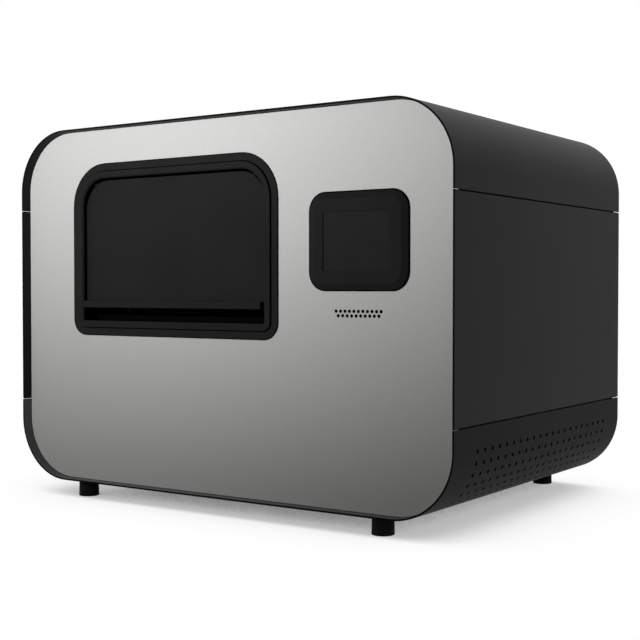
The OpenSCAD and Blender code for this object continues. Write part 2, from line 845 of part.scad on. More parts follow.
module hinge_pins() {
    color([0.75, 0.75, 0.77]) at_hinges() bar(-hinge_l / 2, hinge_l / 2, 0, 0, hinge_pin_r);
}

// Sweeps a section round a rectangle with round corners that stands on the front plate
// The section is drawn with its width inwards from the outline and its height out of the plate
module rim(w, h, top_r, bottom_r) {
    rotate([90, 0, 0]) {
        for (side = [0, 1]) mirror([side, 0, 0]) {
            translate([w / 2 - top_r, h / 2 - top_r, 0])
                rotate_extrude(angle = 90) translate([top_r, 0]) mirror([1, 0]) children();
            translate([w / 2 - bottom_r, bottom_r - h / 2, 0])
                rotate([0, 0, -90]) rotate_extrude(angle = 90)
                    translate([bottom_r, 0]) mirror([1, 0]) children();
            translate([w / 2, h / 2 - top_r, 0]) rotate([90, 0, 0])
                linear_extrude(h - top_r - bottom_r) mirror([1, 0]) children();
        }
        translate([-(w / 2 - top_r), h / 2, 0]) rotate([90, 0, 90])
            linear_extrude(w - 2 * top_r) mirror([1, 0]) children();
        translate([-(w / 2 - bottom_r), -h / 2, 0]) rotate([90, 0, 90])
            linear_extrude(w - 2 * bottom_r) children();
    }
}

// Section of the outlet frame: flange, groove, raised ring with round edges, and sleeve
module outlet_section() {
    ring_in = flange_w + groove_w;
    groove_floor = flange_t / 3;
    square([outlet_rim, groove_floor]);
    square([flange_w, flange_t]);
    translate([ring_in, 0]) square([ring_w, ring_h - ring_round]);
    translate([ring_in, 0]) square([ring_w - ring_round, ring_h - ring_edge]);
    translate([ring_in + ring_edge, 0]) square([ring_w - ring_edge - ring_round, ring_h]);
    translate([ring_in + ring_edge, ring_h - ring_edge]) circle(ring_edge);
    translate([outlet_rim - ring_round, ring_h - ring_round]) intersection() {
        circle(ring_round);
        square(ring_round);
    }
    translate([outlet_rim - sleeve_t, -sleeve_depth]) square([sleeve_t, sleeve_depth + groove_floor]);
}

module outlet_frame() {
    color([0.13, 0.13, 0.13]) difference() {
        translate([outlet_x, front_face, outlet_z + outlet_h / 2])
            rim(outlet_w, outlet_h, outlet_top_r, outlet_bottom_r) outlet_section();
        bar(path_x - flap_rod_l / 2, path_x + flap_rod_l / 2, flap_rod_y, flap_rod_z, flap_rod_r + fit);
    }
}

// Flap's front view: round top corners, square bottom corners
module flap_outline() {
    straight = flap_top - flap_bottom - flap_corner_r;
    translate([path_x - flap_w / 2, flap_bottom]) square([flap_w, straight]);
    translate([path_x - flap_w / 2 + flap_corner_r, flap_bottom])
        square([flap_w - 2 * flap_corner_r, straight + flap_corner_r]);
    for (side = [-1, 1])
        translate([path_x + side * (flap_w / 2 - flap_corner_r), flap_top - flap_corner_r])
            circle(flap_corner_r);
}

// Lip's side view, with the hollow above it
module lip_section() {
    nose_r = lip_h / 4;
    difference() {
        translate([flap_y - lip_out, flap_bottom]) square([lip_out + flap_t / 2, lip_h + lip_fillet]);
        translate([flap_y - lip_fillet, flap_bottom + lip_h + lip_fillet]) circle(lip_fillet);
        translate([flap_y - lip_out - over, flap_bottom + lip_h])
            square([lip_out + over - lip_fillet, 2 * lip_fillet]);
        for (z = [flap_bottom, flap_bottom + lip_h])
            translate([flap_y - lip_out, z]) difference() {
                square(2 * nose_r, center = true);
                translate([nose_r, z > flap_bottom ? -nose_r : nose_r]) circle(nose_r);
            }
    }
}

module outlet_flap() {
    color([0.14, 0.14, 0.14]) difference() {
        union() {
            along_y(flap_y, flap_y + flap_t) flap_outline();
            bar(path_x - flap_barrel / 2, path_x + flap_barrel / 2, flap_rod_y, flap_rod_z, flap_t);
            along_x(path_x - flap_w / 2, path_x + flap_w / 2 - lip_cut) lip_section();
        }
        bar(path_x - flap_w, path_x + flap_w, flap_rod_y, flap_rod_z, flap_rod_r + fit);
    }
}

module flap_hinge_rod() {
    color([0.75, 0.75, 0.77])
        bar(path_x - flap_rod_l / 2, path_x + flap_rod_l / 2, flap_rod_y, flap_rod_z, flap_rod_r);
}

// Section of the display bezel: edge, slope and face
module bezel_section() {
    polygon([
        [0, 0], [0, display_edge], [display_bevel, display_proud],
        [display_r, display_proud], [display_r, 0]
    ]);
}

module display_bezel() {
    ledge = display_proud - screen_sink;
    color([0.13, 0.13, 0.13]) translate([display_x, front_face, screen_z]) difference() {
        union() {
            rim(display_w, display_h, display_r, display_r) bezel_section();
            along_y(-display_proud, 0)
                square([display_w - 2 * (display_bevel + over), display_h - 2 * display_r], center = true);
            along_y(-display_proud, 0)
                square([display_w - 2 * display_r, display_h - 2 * (display_bevel + over)], center = true);
        }
        translate([-screen_off, 0, 0]) {
            along_y(-2 * display_proud, over) square([screen_w, screen_h], center = true);
            along_y(-ledge, over) square(grown([glass_w, glass_h], cutout_gap), center = true);
        }
    }
}

module touch_screen() {
    ledge = display_proud - screen_sink;
    color([0.05, 0.05, 0.06]) translate([screen_x, front_face, screen_z]) {
        along_y(-ledge, glass_t - ledge) square([glass_w, glass_h], center = true);
        along_y(glass_t - ledge, module_depth) square([screen_w, screen_h], center = true);
    }
}

// Pan behind the front plate that holds the display module
module display_clamp() {
    flange = 12;
    glass = [glass_w, glass_h];
    color([0.55, 0.56, 0.58]) translate([screen_x, front_face, screen_z]) difference() {
        union() {
            along_y(plate_t, plate_t + clamp_t) square(grown(glass, flange), center = true);
            along_y(plate_t, module_depth + clamp_t) square(glass, center = true);
        }
        along_y(plate_t - over, module_depth) square(grown(glass, -clamp_t), center = true);
    }
}

module speaker() {
    edge_w = 4;
    edge_t = 3;
    basket_r = 6;
    basket_w = speaker_count * speaker_pitch + 2 * edge_w;
    basket_depth = speaker_depth / 2;
    color([0.12, 0.12, 0.12]) translate([display_x, front_in, speaker_z - speaker_row / 2]) difference() {
        union() {
            along_y(0, edge_t) round_rect(basket_w, speaker_h, basket_r);
            along_y(edge_t, basket_depth) round_rect(basket_w - 3 * edge_w, speaker_h - 3 * edge_w, basket_r);
            translate([0, basket_depth, 0]) rotate([-90, 0, 0])
                cylinder(h = speaker_depth - basket_depth, d = speaker_h - 4 * edge_w);
        }
        along_y(-over, edge_t / 2) round_rect(basket_w - 2 * edge_w, speaker_h - 2 * edge_w, edge_w);
    }
}

// Side plate of the mechanism with its bearing seats, standing on the base plate on a foot turned inwards
module side_frame(side) {
    inner = side > 0 ? right_in : left_in;
    outer = side > 0 ? right_out : left_out;
    axis = side > 0 ? [feed_y, feed_z, feed_shaft_r] : [motor_y, motor_z, motor_shaft_r];
    axis_gap = 4;
    color([0.62, 0.63, 0.65]) {
        along_x(min(inner, outer), max(inner, outer)) difference() {
            translate([-frame_front, base_top]) square([frame_front + frame_back, frame_top - base_top]);
            for (s = shafts)
                translate([s[0], s[1]]) circle(s[2] + s[3] + fit);
            translate([axis[0], axis[1]]) circle(axis[2] + axis_gap);
        }
        block(
            [min(outer, inner - side * frame_foot), -frame_front, base_top],
            [max(outer, inner - side * frame_foot), frame_back, base_top + frame_t]);
    }
}

module left_frame() {
    side_frame(-1);
}

module right_frame() {
    side_frame(1);
}

module tie_bars() {
    depths = [tie_inset - frame_front, frame_back - tie_inset];
    heights = [base_top + frame_t + tie_inset, frame_top - tie_inset];
    color([0.7, 0.7, 0.72]) for (y = depths, z = heights)
        bar(left_in, right_in, y, z, tie_d / 2);
}

module bearings() {
    color([0.75, 0.75, 0.77]) for (s = shafts, side = [-1, 1])
        translate([side > 0 ? right_in : left_in, s[0], s[1]]) rotate([0, side * 90, 0]) difference() {
            union() {
                cylinder(h = frame_t, r = s[2] + s[3]);
                translate([0, 0, frame_t]) cylinder(h = bearing_rim, r = s[2] + s[3] + bearing_rim);
            }
            translate([0, 0, -over]) cylinder(h = frame_t + bearing_rim + 2 * over, r = s[2] + fit);
        }
}

// Cylinder or roller between the side frames, with collars at the bearings and shaft ends from x0 to x1
module roller(shaft, r, l, x0, x1) {
    collar_h = 1.5;
    bar(path_x - l / 2, path_x + l / 2, shaft[0], shaft[1], r);
    bar(left_in + side_gap, right_in - side_gap, shaft[0], shaft[1], shaft[2] + collar_h);
    bar(x0, x1, shaft[0], shaft[1], shaft[2]);
}

module lower_cylinder() {
    color([0.72, 0.72, 0.74]) roller(lower_shaft, cylinder_r, cylinder_l, main_x0, right_in + shaft_stub);
}

module upper_cylinder() {
    color([0.72, 0.72, 0.74]) roller(upper_shaft, cylinder_r, cylinder_l, gear_x0, right_in + shaft_stub);
}

// Involute gear outline with a tooth on the X axis and a little backlash
function involute(a) = tan(a) * 180 / PI - a;
function tooth_half(r, base_r) =
    90 / gear_teeth - backlash + involute(pressure) - involute(acos(min(1, base_r / r)));
function polar(r, a) = [r * cos(a), r * sin(a)];

module gear_outline() {
    base_r = gear_r * cos(pressure);
    root_r = gear_r - dedendum * gear_module;
    tip_r = gear_r + gear_module;
    flank = [root_r, base_r, (base_r + gear_r) / 2, gear_r, (gear_r + tip_r) / 2, tip_r];
    last = len(flank) - 1;
    polygon([
        for (i = [0 : gear_teeth - 1], k = [-last - 1 : last])
            let (r = k < 0 ? flank[k + last + 1] : flank[last - k])
            polar(r, i * 360 / gear_teeth + (k < 0 ? -1 : 1) * tooth_half(r, base_r))
    ]);
}

// Gear on a cylinder's shaft, turned so that the two are in mesh
module cylinder_gear(shaft, turn) {
    hub_wall = 8;
    holes = 6;
    web_in = shaft[2] + hub_wall;
    web_out = gear_r - 3 * gear_module;
    color([0.62, 0.55, 0.35]) along_x(gear_x0, gear_x1) translate([shaft[0], shaft[1]]) difference() {
        rotate(turn) gear_outline();
        circle(shaft[2] + fit);
        for (i = [0 : holes - 1])
            rotate(360 / holes * i) translate([(web_in + web_out) / 2, 0]) circle(d = web_out - web_in);
    }
}

module lower_gear() {
    cylinder_gear(lower_shaft, 90);
}

module upper_gear() {
    cylinder_gear(upper_shaft, 270 + 180 / gear_teeth);
}

// Belt pulley with a rim on each side
module pulley(x0, x1, run, bore_r) {
    rim_r = run[2] + belt_gap + belt_t + rim_h;
    difference() {
        union() {
            bar(x0, x1, run[0], run[1], run[2]);
            bar(x0, x0 + rim_t, run[0], run[1], rim_r);
            bar(x1 - rim_t, x1, run[0], run[1], rim_r);
        }
        if (bore_r > 0) bar(x0 - over, x1 + over, run[0], run[1], bore_r);
    }
}

module cylinder_pulley() {
    color([0.7, 0.7, 0.72]) pulley(main_x0, main_x1, main_run[1], cylinder_shaft_r + fit);
}

// Pulleys of the two motors carry the motor's shaft
module motor_pulley() {
    color([0.7, 0.7, 0.72]) {
        pulley(main_x0, main_x1, main_run[0], 0);
        bar(main_x0, left_in + motor_bore - shaft_gap, motor_y, motor_z, motor_shaft_r);
    }
}

module feed_pulley() {
    color([0.7, 0.7, 0.72]) {
        pulley(feed_x0, feed_x1, feed_run[0], 0);
        bar(right_in - motor_bore + shaft_gap, feed_x1, feed_y, feed_z, feed_shaft_r);
    }
}

// Round motor on the left frame, with a flange, cooling ribs and a terminal box
module main_motor() {
    r = motor_d / 2;
    flange_l = 10;
    ribs = 9;
    rib_t = 4;
    rib_step = (motor_l - flange_l) / (ribs + 1);
    box_low = [30, -20, 0];
    box_high = [90, 20, r + 12];
    color([0.25, 0.26, 0.28]) difference() {
        union() {
            bar(left_in, left_in + flange_l, motor_y, motor_z, r);
            bar(left_in, left_in + motor_l, motor_y, motor_z, r - rib_t);
            for (i = [1 : ribs])
                translate([left_in + flange_l + i * rib_step, 0, 0]) bar(0, rib_t, motor_y, motor_z, r);
            translate([left_in, motor_y, motor_z]) block(box_low, box_high);
        }
        bar(left_in - over, left_in + motor_bore, motor_y, motor_z, motor_shaft_r + fit);
    }
}

module feed_motor() {
    corner_cut = 10;
    color([0.2, 0.2, 0.22]) difference() {
        along_x(right_in - feed_l, right_in) translate([feed_y, feed_z]) difference() {
            square(feed_w, center = true);
            for (sx = [-1, 1], sy = [-1, 1])
                translate([sx, sy] * feed_w / 2) rotate(45) square(corner_cut, center = true);
        }
        bar(right_in - motor_bore, right_in + over, feed_y, feed_z, feed_shaft_r + fit);
    }
}

// Direction, from each pulley's centre, of the point where the belt leaves for the next pulley
function leave(a, b) =
    atan2(b[1] - a[1], b[0] - a[0]) - acos((a[2] - b[2]) / norm([b[0] - a[0], b[1] - a[1]]));

// Area inside a belt that runs round pulleys, larger than them by off
module belt_area(run, off) {
    n = len(run);
    polygon([
        for (i = [0 : n - 1], end = [0, 1])
            let (a = run[i], b = run[(i + 1) % n], at = end == 0 ? a : b)
            [at[0], at[1]] + polar(at[2] + off, leave(a, b))
    ]);
    for (p = run)
        translate([p[0], p[1]]) circle(p[2] + off);
}

module belt(run, x0, x1) {
    color([0.08, 0.08, 0.08]) along_x(x0 + rim_t + belt_gap, x1 - rim_t - belt_gap) difference() {
        belt_area(run, belt_gap + belt_t);
        belt_area(run, belt_gap);
    }
}

module main_belt() {
    belt(main_run, main_x0, main_x1);
}

module feed_belt() {
    belt(feed_run, feed_x0, feed_x1);
}

// Square bar with round ends in the bearings and under the pulley
module tractor_shaft() {
    color([0.75, 0.75, 0.77]) {
        along_x(left_in + side_gap, right_in - side_gap)
            translate([tractor_y, tractor_z]) square(square_d, center = true);
        bar(left_in - shaft_stub, feed_x1, tractor_y, tractor_z, tractor_shaft_r);
    }
}

module guide_rod() {
    color([0.75, 0.75, 0.77]) bar(left_in, right_in, guide_rod_y, tractor_z, guide_rod_r);
}

// Puts its children on the tractor shaft at one tractor, with +X outwards from the pin wheel's middle
module at_tractor(side) {
    translate([path_x + side * pin_span / 2, tractor_y, tractor_z])
        mirror([side > 0 ? 0 : 1, 0, 0]) children();
}

module tractor(side) {
    hub_margin = 8;
    lug_h = 16;
    plate_front = hub_r + hub_margin;
    plate_back = guide_rod_dy + guide_rod_r + guide_boss;
    plate_low = -hub_r - hub_margin / 2;
    plate_high = pin_circle - guide_drop;
    lug_low = pin_circle - lug_h;
    lug_y = door_l / 2 + side_gap;
    color([0.16, 0.17, 0.19]) at_tractor(side) difference() {
        union() {
            along_x(tractor_in, tractor_out) translate([-plate_front, plate_low])
                square([plate_front + plate_back, plate_high - plate_low]);
            bar(-tractor_in, tractor_out, guide_rod_dy, 0, guide_rod_r + guide_boss);
            for (y = [-lug_y - lug_t, lug_y]) {
                block([tractor_in, y, lug_low], [door_axis_u, y + lug_t, plate_high]);
                block([door_axis_u - lug_r, y, lug_low], [door_axis_u + lug_r, y + lug_t, door_axis_z]);
                translate([door_axis_u, y, door_axis_z]) rotate([-90, 0, 0]) cylinder(h = lug_t, r = lug_r);
                block(
                    [tractor_in, min(y, -plate_front), lug_low],
                    [tractor_out, max(y + lug_t, -plate_front), plate_high]);
            }
        }
        bar(0, 2 * tractor_out, 0, 0, hub_r + fit);
        bar(-2 * tractor_out, 2 * tractor_out, guide_rod_dy, 0, guide_rod_r + fit);
        translate([door_axis_u, -door_l, door_axis_z]) rotate([-90, 0, 0])
            cylinder(h = 2 * door_l, d = door_pin_d + 2 * fit);
    }
}

module left_tractor() {
    tractor(-1);
}

module right_tractor() {
    tractor(1);
}

module pin_wheel(side) {
    pin_root = 2;
    pin_tip_d = pin_d / 2;
    color([0.85, 0.85, 0.82]) at_tractor(side) difference() {
        union() {
            bar(-wheel_w / 2, wheel_w / 2, 0, 0, wheel_r);
            bar(0, tractor_out + side_gap, 0, 0, hub_r);
            for (i = [0 : pin_count - 1])
                rotate([i * 360 / pin_count, 0, 0]) translate([0, 0, wheel_r - pin_root])
                    cylinder(h = pin_root + wheel_drop + pin_h, d1 = pin_d, d2 = pin_tip_d);
        }
        along_x(-wheel_w, 2 * tractor_out) square(square_d + 2 * square_gap, center = true);
    }
}

module left_pin_wheel() {
    pin_wheel(-1);
}

module right_pin_wheel() {
    pin_wheel(1);
}

module tractor_door(side) {
    slot_gap = 1.5;
    slot_end = 4;
    slot_w = pin_d + 2 * slot_gap;
    slot_l = hub_d + 2 * slot_end;
    color([0.2, 0.21, 0.23]) at_tractor(side) translate([door_axis_u, 0, door_axis_z]) {
        difference() {
            block([-door_w, -door_l / 2, -door_t / 2], [0, door_l / 2, door_t / 2]);
            translate([-door_axis_u, 0, 0]) cube([slot_w, slot_l, 2 * door_t], center = true);
        }
        translate([0, -door_l / 2, 0]) rotate([-90, 0, 0]) cylinder(h = door_l, r = door_barrel_r);
        translate([0, -door_l / 2 - side_gap - lug_t, 0]) rotate([-90, 0, 0])
            cylinder(h = door_l + 2 * (side_gap + lug_t), d = door_pin_d);
    }
}

module left_tractor_door() {
    tractor_door(-1);
}

module right_tractor_door() {
    tractor_door(1);
}

module tractor_pulley() {
    color([0.7, 0.7, 0.72]) pulley(feed_x0, feed_x1, feed_run[1], tractor_shaft_r + fit);
}

module exit_roller() {
    color([0.12, 0.12, 0.13]) roller(exit_shaft, exit_r, cylinder_l, left_in - shaft_stub, feed_x1);
}

module pinch_roller() {
    color([0.12, 0.12, 0.13])
        roller(pinch_shaft, exit_r, cylinder_l, left_in - shaft_stub, right_in + shaft_stub);
}

module exit_pulley() {
    color([0.7, 0.7, 0.72]) pulley(feed_x0, feed_x1, feed_run[2], exit_shaft_r + fit);
}

// Sheet between the side frames with both long edges turned down
module paper_guide(y0, y1) {
    color([0.75, 0.75, 0.76]) {
        block([left_in, y0, guide_top - guide_t], [right_in, y1, guide_top]);
        block([left_in, y0, guide_top - guide_edge], [right_in, y0 + guide_t, guide_top]);
        block([left_in, y1 - guide_t, guide_top - guide_edge], [right_in, y1, guide_top]);
    }
}

module paper_guides() {
    paper_guide(guide_rod_y + guide_rod_r + guide_boss + guide_gap, rear_in);
    paper_guide(cylinder_r + guide_gap, tractor_y - pin_circle - pin_h - guide_gap);
    paper_guide(-exit_y + exit_r + guide_gap, -cylinder_r - guide_gap);
    paper_guide(sleeve_back + plate_gap, -exit_y - exit_r - guide_gap);
}

module power_supply() {
    ledge = 24;
    terminals = 7;
    margin = 10;
    wall = 2;
    slot_depth = 8;
    step = (psu_w - 2 * margin) / terminals;
    color([0.65, 0.66, 0.67]) translate([psu_x, -psu_l / 2, base_top]) difference() {
        cube([psu_w, psu_l, psu_h]);
        translate([-over, -over, psu_h / 2]) cube([psu_w + 2 * over, ledge + over, psu_h]);
        for (i = [0 : terminals - 1])
            translate([margin + i * step, ledge / 3, psu_h / 2 - slot_depth])
                cube([step - wall, ledge / 2, 2 * slot_depth]);
    }
}

module control_board() {
    pad = 8;
    processor = [34, 34];
    processor_h = 3;
    processor_at = [10, 60];
    memory = [14, 24];
    memory_h = 2;
    memory_at = [-75, 100];
    memory_step = [20, 0];
    can_d = 14;
    can_h = 14;
    can_at = [-60, 70];
    can_step = [24, 0];
    header = [10, 50];
    header_h = 10;
    header_at = [60, 20];
    color([0.1, 0.35, 0.2]) translate([board_x, board_y, board_z]) {
        along_y(-board_t, 0) translate([-board_w / 2, 0]) square([board_w, board_h]);
        for (sx = [-1, 1], z = [pad, board_h - pad])
            translate([sx * (board_w / 2 - pad), -board_t, z]) rotate([-90, 0, 0])
                cylinder(h = board_t + standoff_l, d = standoff_d);
        along_y(-board_t - processor_h, 0) translate(processor_at) square(processor);
        for (i = [0 : 3])
            along_y(-board_t - memory_h, 0) translate(memory_at + i * memory_step) square(memory);
        for (i = [0 : 2])
            along_y(-board_t - can_h, 0) translate(can_at + i * can_step) circle(d = can_d);
        along_y(-board_t - header_h, 0) translate(header_at) square(header);
    }
}

module port_shells() {
    back_t = 4;
    port_l = standoff_l + plate_t + port_proud;
    color([0.78, 0.78, 0.8]) for (p = ports)
        translate([board_x + p[0], board_y, board_z + p[1]]) difference() {
            along_y(0, port_l) square([p[2], p[3]], center = true);
            along_y(back_t, port_l + over) square([p[4], p[5]], center = true);
        }
}

module fan_frame() {
    edge_r = 4;
    struts = 4;
    strut_w = 5;
    pin_l = fan_t - 1.5 * spider_t;
    color([0.08, 0.08, 0.08]) translate([fan_x, rear_in, fan_z]) {
        along_y(-fan_t, 0) difference() {
            round_rect(fan_w, fan_w, edge_r);
            circle(d = fan_duct_d);
        }
        along_y(-fan_t, spider_t - fan_t) {
            circle(d = fan_hub_d);
            for (i = [0 : struts - 1])
                rotate(360 / struts * (i + 0.5)) translate([0, -strut_w / 2])
                    square([fan_duct_d / 2 + over, strut_w]);
        }
        along_y(-fan_t, pin_l - fan_t) circle(fan_pin_r);
    }
}

module fan_rotor() {
    tip_r = fan_duct_d / 2 - fan_gap;
    depth = fan_t - 2 * spider_t - side_gap;
    pitch = 38;
    chord = 20;
    blade_t = 1.6;
    start = rear_in - fan_t + spider_t + side_gap;
    color([0.1, 0.1, 0.1]) translate([fan_x, start, fan_z]) rotate([-90, 0, 0]) difference() {
        union() {
            cylinder(h = depth, d = fan_hub_d);
            intersection() {
                for (i = [0 : fan_blades - 1])
                    rotate([0, 0, i * 360 / fan_blades]) translate([0, 0, depth / 2]) rotate([pitch, 0, 0])
                        translate([0, -chord / 2, -blade_t / 2]) cube([tip_r + over, chord, blade_t]);
                cylinder(h = depth, r = tip_r);
            }
        }
        translate([0, 0, -over]) cylinder(h = depth + 2 * over, r = fan_pin_r + fit);
    }
}

module power_inlet() {
    face = rear_face + inlet_face_t;
    corner = 3;
    opening = grown([rocker_w, rocker_h], cutout_gap);
    pivot = rocker_w / 2 + rocker_hold;
    contacts_at = [[-7, -1], [0, 3], [7, -1]];
    contact = [2, 4];
    contact_sink = 5;
    color([0.07, 0.07, 0.07]) difference() {
        union() {
            along_y(rear_face, face) translate([inlet_x, inlet_z]) round_rect(inlet_w, inlet_face_h, corner);
            along_y(rear_face - inlet_depth, rear_face) translate([inlet_x, inlet_z])
                square(inlet_body, center = true);
        }
        along_y(face - socket_depth, face + over) {
            translate([inlet_x, socket_z]) square([socket_w, socket_h], center = true);
            translate([inlet_x, rocker_z]) square(opening, center = true);
        }
        bar(inlet_x - pivot, inlet_x + pivot, rocker_y, rocker_z, rocker_pin_r + fit);
    }
    color([0.75, 0.75, 0.77]) for (p = contacts_at)
        along_y(face - socket_depth - over, face - contact_sink)
            translate([inlet_x, socket_z] + p) square(contact, center = true);
}

// Rocker's side view: a face in two slopes over a round back
module rocker_section() {
    swing_gap = 0.8;
    ridge = 1;
    half = rocker_h / 2 - swing_gap;
    intersection() {
        circle(half);
        translate([-half, -half]) square([half + rocker_pin_d, 2 * half]);
    }
    polygon([
        [0, -half], [rocker_pin_d + ridge, -half], [rocker_pin_d, 0], [rocker_pin_d + ridge, half], [0, half]
    ]);
}

module power_rocker() {
    pivot = rocker_w / 2 + rocker_hold - fit;
    color([0.09, 0.09, 0.09]) {
        along_x(inlet_x - rocker_w / 2, inlet_x + rocker_w / 2)
            translate([rocker_y, rocker_z]) rotate(rocker_tilt) rocker_section();
        bar(inlet_x - pivot, inlet_x + pivot, rocker_y, rocker_z, rocker_pin_r);
    }
}

bottom_tray();
left_side_panel();
right_side_panel();
top_cover();
front_plate();
rear_plate();
rubber_feet();
foot_screws();
base_plate();
corner_posts();
seam_rails();
plate_brackets();
cover_rests();
cover_bumpers();
hinge_fixed_leaves();
hinge_moving_leaves();
hinge_pins();
outlet_frame();
outlet_flap();
flap_hinge_rod();
display_bezel();
touch_screen();
display_clamp();
speaker();
left_frame();
right_frame();
tie_bars();
bearings();
lower_cylinder();
upper_cylinder();
lower_gear();
upper_gear();
cylinder_pulley();
main_motor();
motor_pulley();
main_belt();
tractor_shaft();
guide_rod();
left_tractor();
right_tractor();
left_pin_wheel();
right_pin_wheel();
left_tractor_door();
right_tractor_door();
tractor_pulley();
feed_motor();
feed_pulley();
feed_belt();
exit_roller();
pinch_roller();
exit_pulley();
paper_guides();
power_supply();
control_board();
port_shells();
fan_frame();
fan_rotor();
power_inlet();
power_rocker();
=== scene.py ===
import json
import math

import bmesh
import bpy
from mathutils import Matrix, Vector

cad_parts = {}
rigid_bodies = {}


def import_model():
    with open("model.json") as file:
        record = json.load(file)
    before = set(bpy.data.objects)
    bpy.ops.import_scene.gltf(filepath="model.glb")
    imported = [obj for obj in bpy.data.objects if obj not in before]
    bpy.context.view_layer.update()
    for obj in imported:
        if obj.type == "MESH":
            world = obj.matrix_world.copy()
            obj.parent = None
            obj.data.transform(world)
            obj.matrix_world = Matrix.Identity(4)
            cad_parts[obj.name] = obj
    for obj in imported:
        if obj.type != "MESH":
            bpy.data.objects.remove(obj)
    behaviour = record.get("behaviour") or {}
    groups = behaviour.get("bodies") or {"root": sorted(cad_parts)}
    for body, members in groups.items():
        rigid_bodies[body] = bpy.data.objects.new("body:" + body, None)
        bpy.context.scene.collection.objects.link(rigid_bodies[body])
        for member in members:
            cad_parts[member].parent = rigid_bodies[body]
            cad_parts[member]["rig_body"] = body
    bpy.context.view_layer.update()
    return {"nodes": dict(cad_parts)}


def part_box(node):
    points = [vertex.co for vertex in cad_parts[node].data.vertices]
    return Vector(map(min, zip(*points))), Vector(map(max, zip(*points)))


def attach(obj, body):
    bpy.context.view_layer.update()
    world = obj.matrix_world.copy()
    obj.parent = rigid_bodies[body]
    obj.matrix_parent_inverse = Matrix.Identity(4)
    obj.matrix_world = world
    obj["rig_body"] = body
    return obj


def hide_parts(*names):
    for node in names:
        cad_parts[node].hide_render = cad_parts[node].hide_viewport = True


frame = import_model()

# Feet: four slightly tapered blocks of moulded black rubber under the tray.
# Each hides the head of a steel screw in its pocket, which holds it through the tray to the base plate.
MM = 0.001
FOOT_EDGE = 1.2 * MM
FOOT_DARK, FOOT_PALE = "0f0f0f", "181817"
BLOOM, RUBBER_GRAIN, RUBBER_GRAIN_H = 9 * MM, 0.9 * MM, 0.1 * MM
WELD = 0.001 * MM
FLAT_TURN, SHARP_TURN = 0.2, 35
EDGE_STEPS = 2
FLAT_WEIGHT = 100


def linear(code):
    """Linear colour with alpha from an sRGB hex value."""
    channels = [int(code[i:i + 2], 16) / 255 for i in (0, 2, 4)]
    return [c / 12.92 if c <= 0.04045 else ((c + 0.055) / 1.055) ** 2.4 for c in channels] + [1.0]


def start_material(name):
    """New node material, with its shader and the piece's own coordinates in metres."""
    made = bpy.data.materials.new(name)
    made.use_nodes = True
    return made, made.node_tree.nodes["Principled BSDF"], add(made, "ShaderNodeTexCoord").outputs["Object"]


def add(made, kind, links=None, values=None, stops=None, **settings):
    """Adds a node with its settings, colour stops, socket values and incoming links."""
    node = made.node_tree.nodes.new(kind)
    for name, value in settings.items():
        setattr(node, name, value)
    for i, (place, code) in enumerate(stops or ()):
        ramp = node.color_ramp.elements
        element = ramp[i] if i < len(ramp) else ramp.new(place)
        element.position, element.color = place, linear(code)
    for socket, value in (values or {}).items():
        node.inputs[socket].default_value = value
    for socket, source in (links or {}).items():
        made.node_tree.links.new(source, node.inputs[socket])
    return node


def put(made, shader, socket, source):
    """Links a node's output to the shader."""
    made.node_tree.links.new(source, shader.inputs[socket])


def show(name, mesh, made, node):
    """New piece from a mesh, with a material, which rides with a CAD node and takes a slot."""
    piece = bpy.data.objects.new(name, mesh)
    bpy.context.scene.collection.objects.link(piece)
    mesh.materials.append(made)
    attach(piece, frame["nodes"][node]["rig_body"])
    return piece


def eased(node, edge, made, turn=SHARP_TURN, moved=None):
    """Copy of a CAD node with its sharp edges rounded over, which stands for it and takes a material."""
    mesh = bpy.data.meshes.new(node + "_skin")
    work = bmesh.new()
    work.from_mesh(frame["nodes"][node].data)
    bmesh.ops.remove_doubles(work, verts=work.verts, dist=WELD)
    bmesh.ops.dissolve_limit(work, angle_limit=math.radians(FLAT_TURN), verts=work.verts, edges=work.edges)
    for corner in work.verts if moved else ():
        moved(corner.co)
    sharp = [e for e in work.edges if e.is_manifold and e.calc_face_angle() > math.radians(turn)]
    bmesh.ops.bevel(work, geom=sharp, offset=edge, segments=EDGE_STEPS, profile=0.5, affect="EDGES",
                    clamp_overlap=True)
    for face in work.faces:
        face.smooth = True
    for rim in work.edges:
        rim.smooth = not (rim.is_manifold and rim.calc_face_angle() > math.radians(turn))
    work.to_mesh(mesh)
    work.free()
    piece = show(node + "_skin", mesh, made, node)
    shading = piece.modifiers.new("flat_faces", "WEIGHTED_NORMAL")
    shading.weight = FLAT_WEIGHT
    shading.keep_sharp = True
    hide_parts(node)
    return piece


def dress(node, made):
    """Gives a CAD node's own object a material."""
    for place in frame["nodes"][node].material_slots:
        place.material = made


def tint(piece, made, chosen):
    """Gives the faces whose middle is chosen a further material."""
    piece.data.materials.append(made)
    for face in piece.data.polygons:
        if chosen(face.center):
            face.material_index = len(piece.data.materials) - 1


# Moulded rubber: nearly black and dull, with a faint bloom that lightens it in patches
moulded_rubber, shader, place = start_material("moulded_rubber")
bloom = add(moulded_rubber, "ShaderNodeTexNoise", {"Vector": place}, {"Scale": 1 / BLOOM, "Detail": 4.0})
tone = add(moulded_rubber, "ShaderNodeValToRGB", {"Fac": bloom.outputs["Fac"]},
           stops=[(0.35, FOOT_DARK), (0.7, FOOT_PALE)])
grain = add(moulded_rubber, "ShaderNodeTexNoise", {"Vector": place},
            {"Scale": 1 / RUBBER_GRAIN, "Detail": 2.0})
bump = add(moulded_rubber, "ShaderNodeBump", {"Height": grain.outputs["Fac"]},
           {"Strength": 0.25, "Distance": RUBBER_GRAIN_H})
put(moulded_rubber, shader, "Base Color", tone.outputs["Color"])
put(moulded_rubber, shader, "Normal", bump.outputs["Normal"])
shader.inputs["Roughness"].default_value = 0.8
shader.inputs["Specular IOR Level"].default_value = 0.1
eased("rubber_feet", FOOT_EDGE, moulded_rubber)
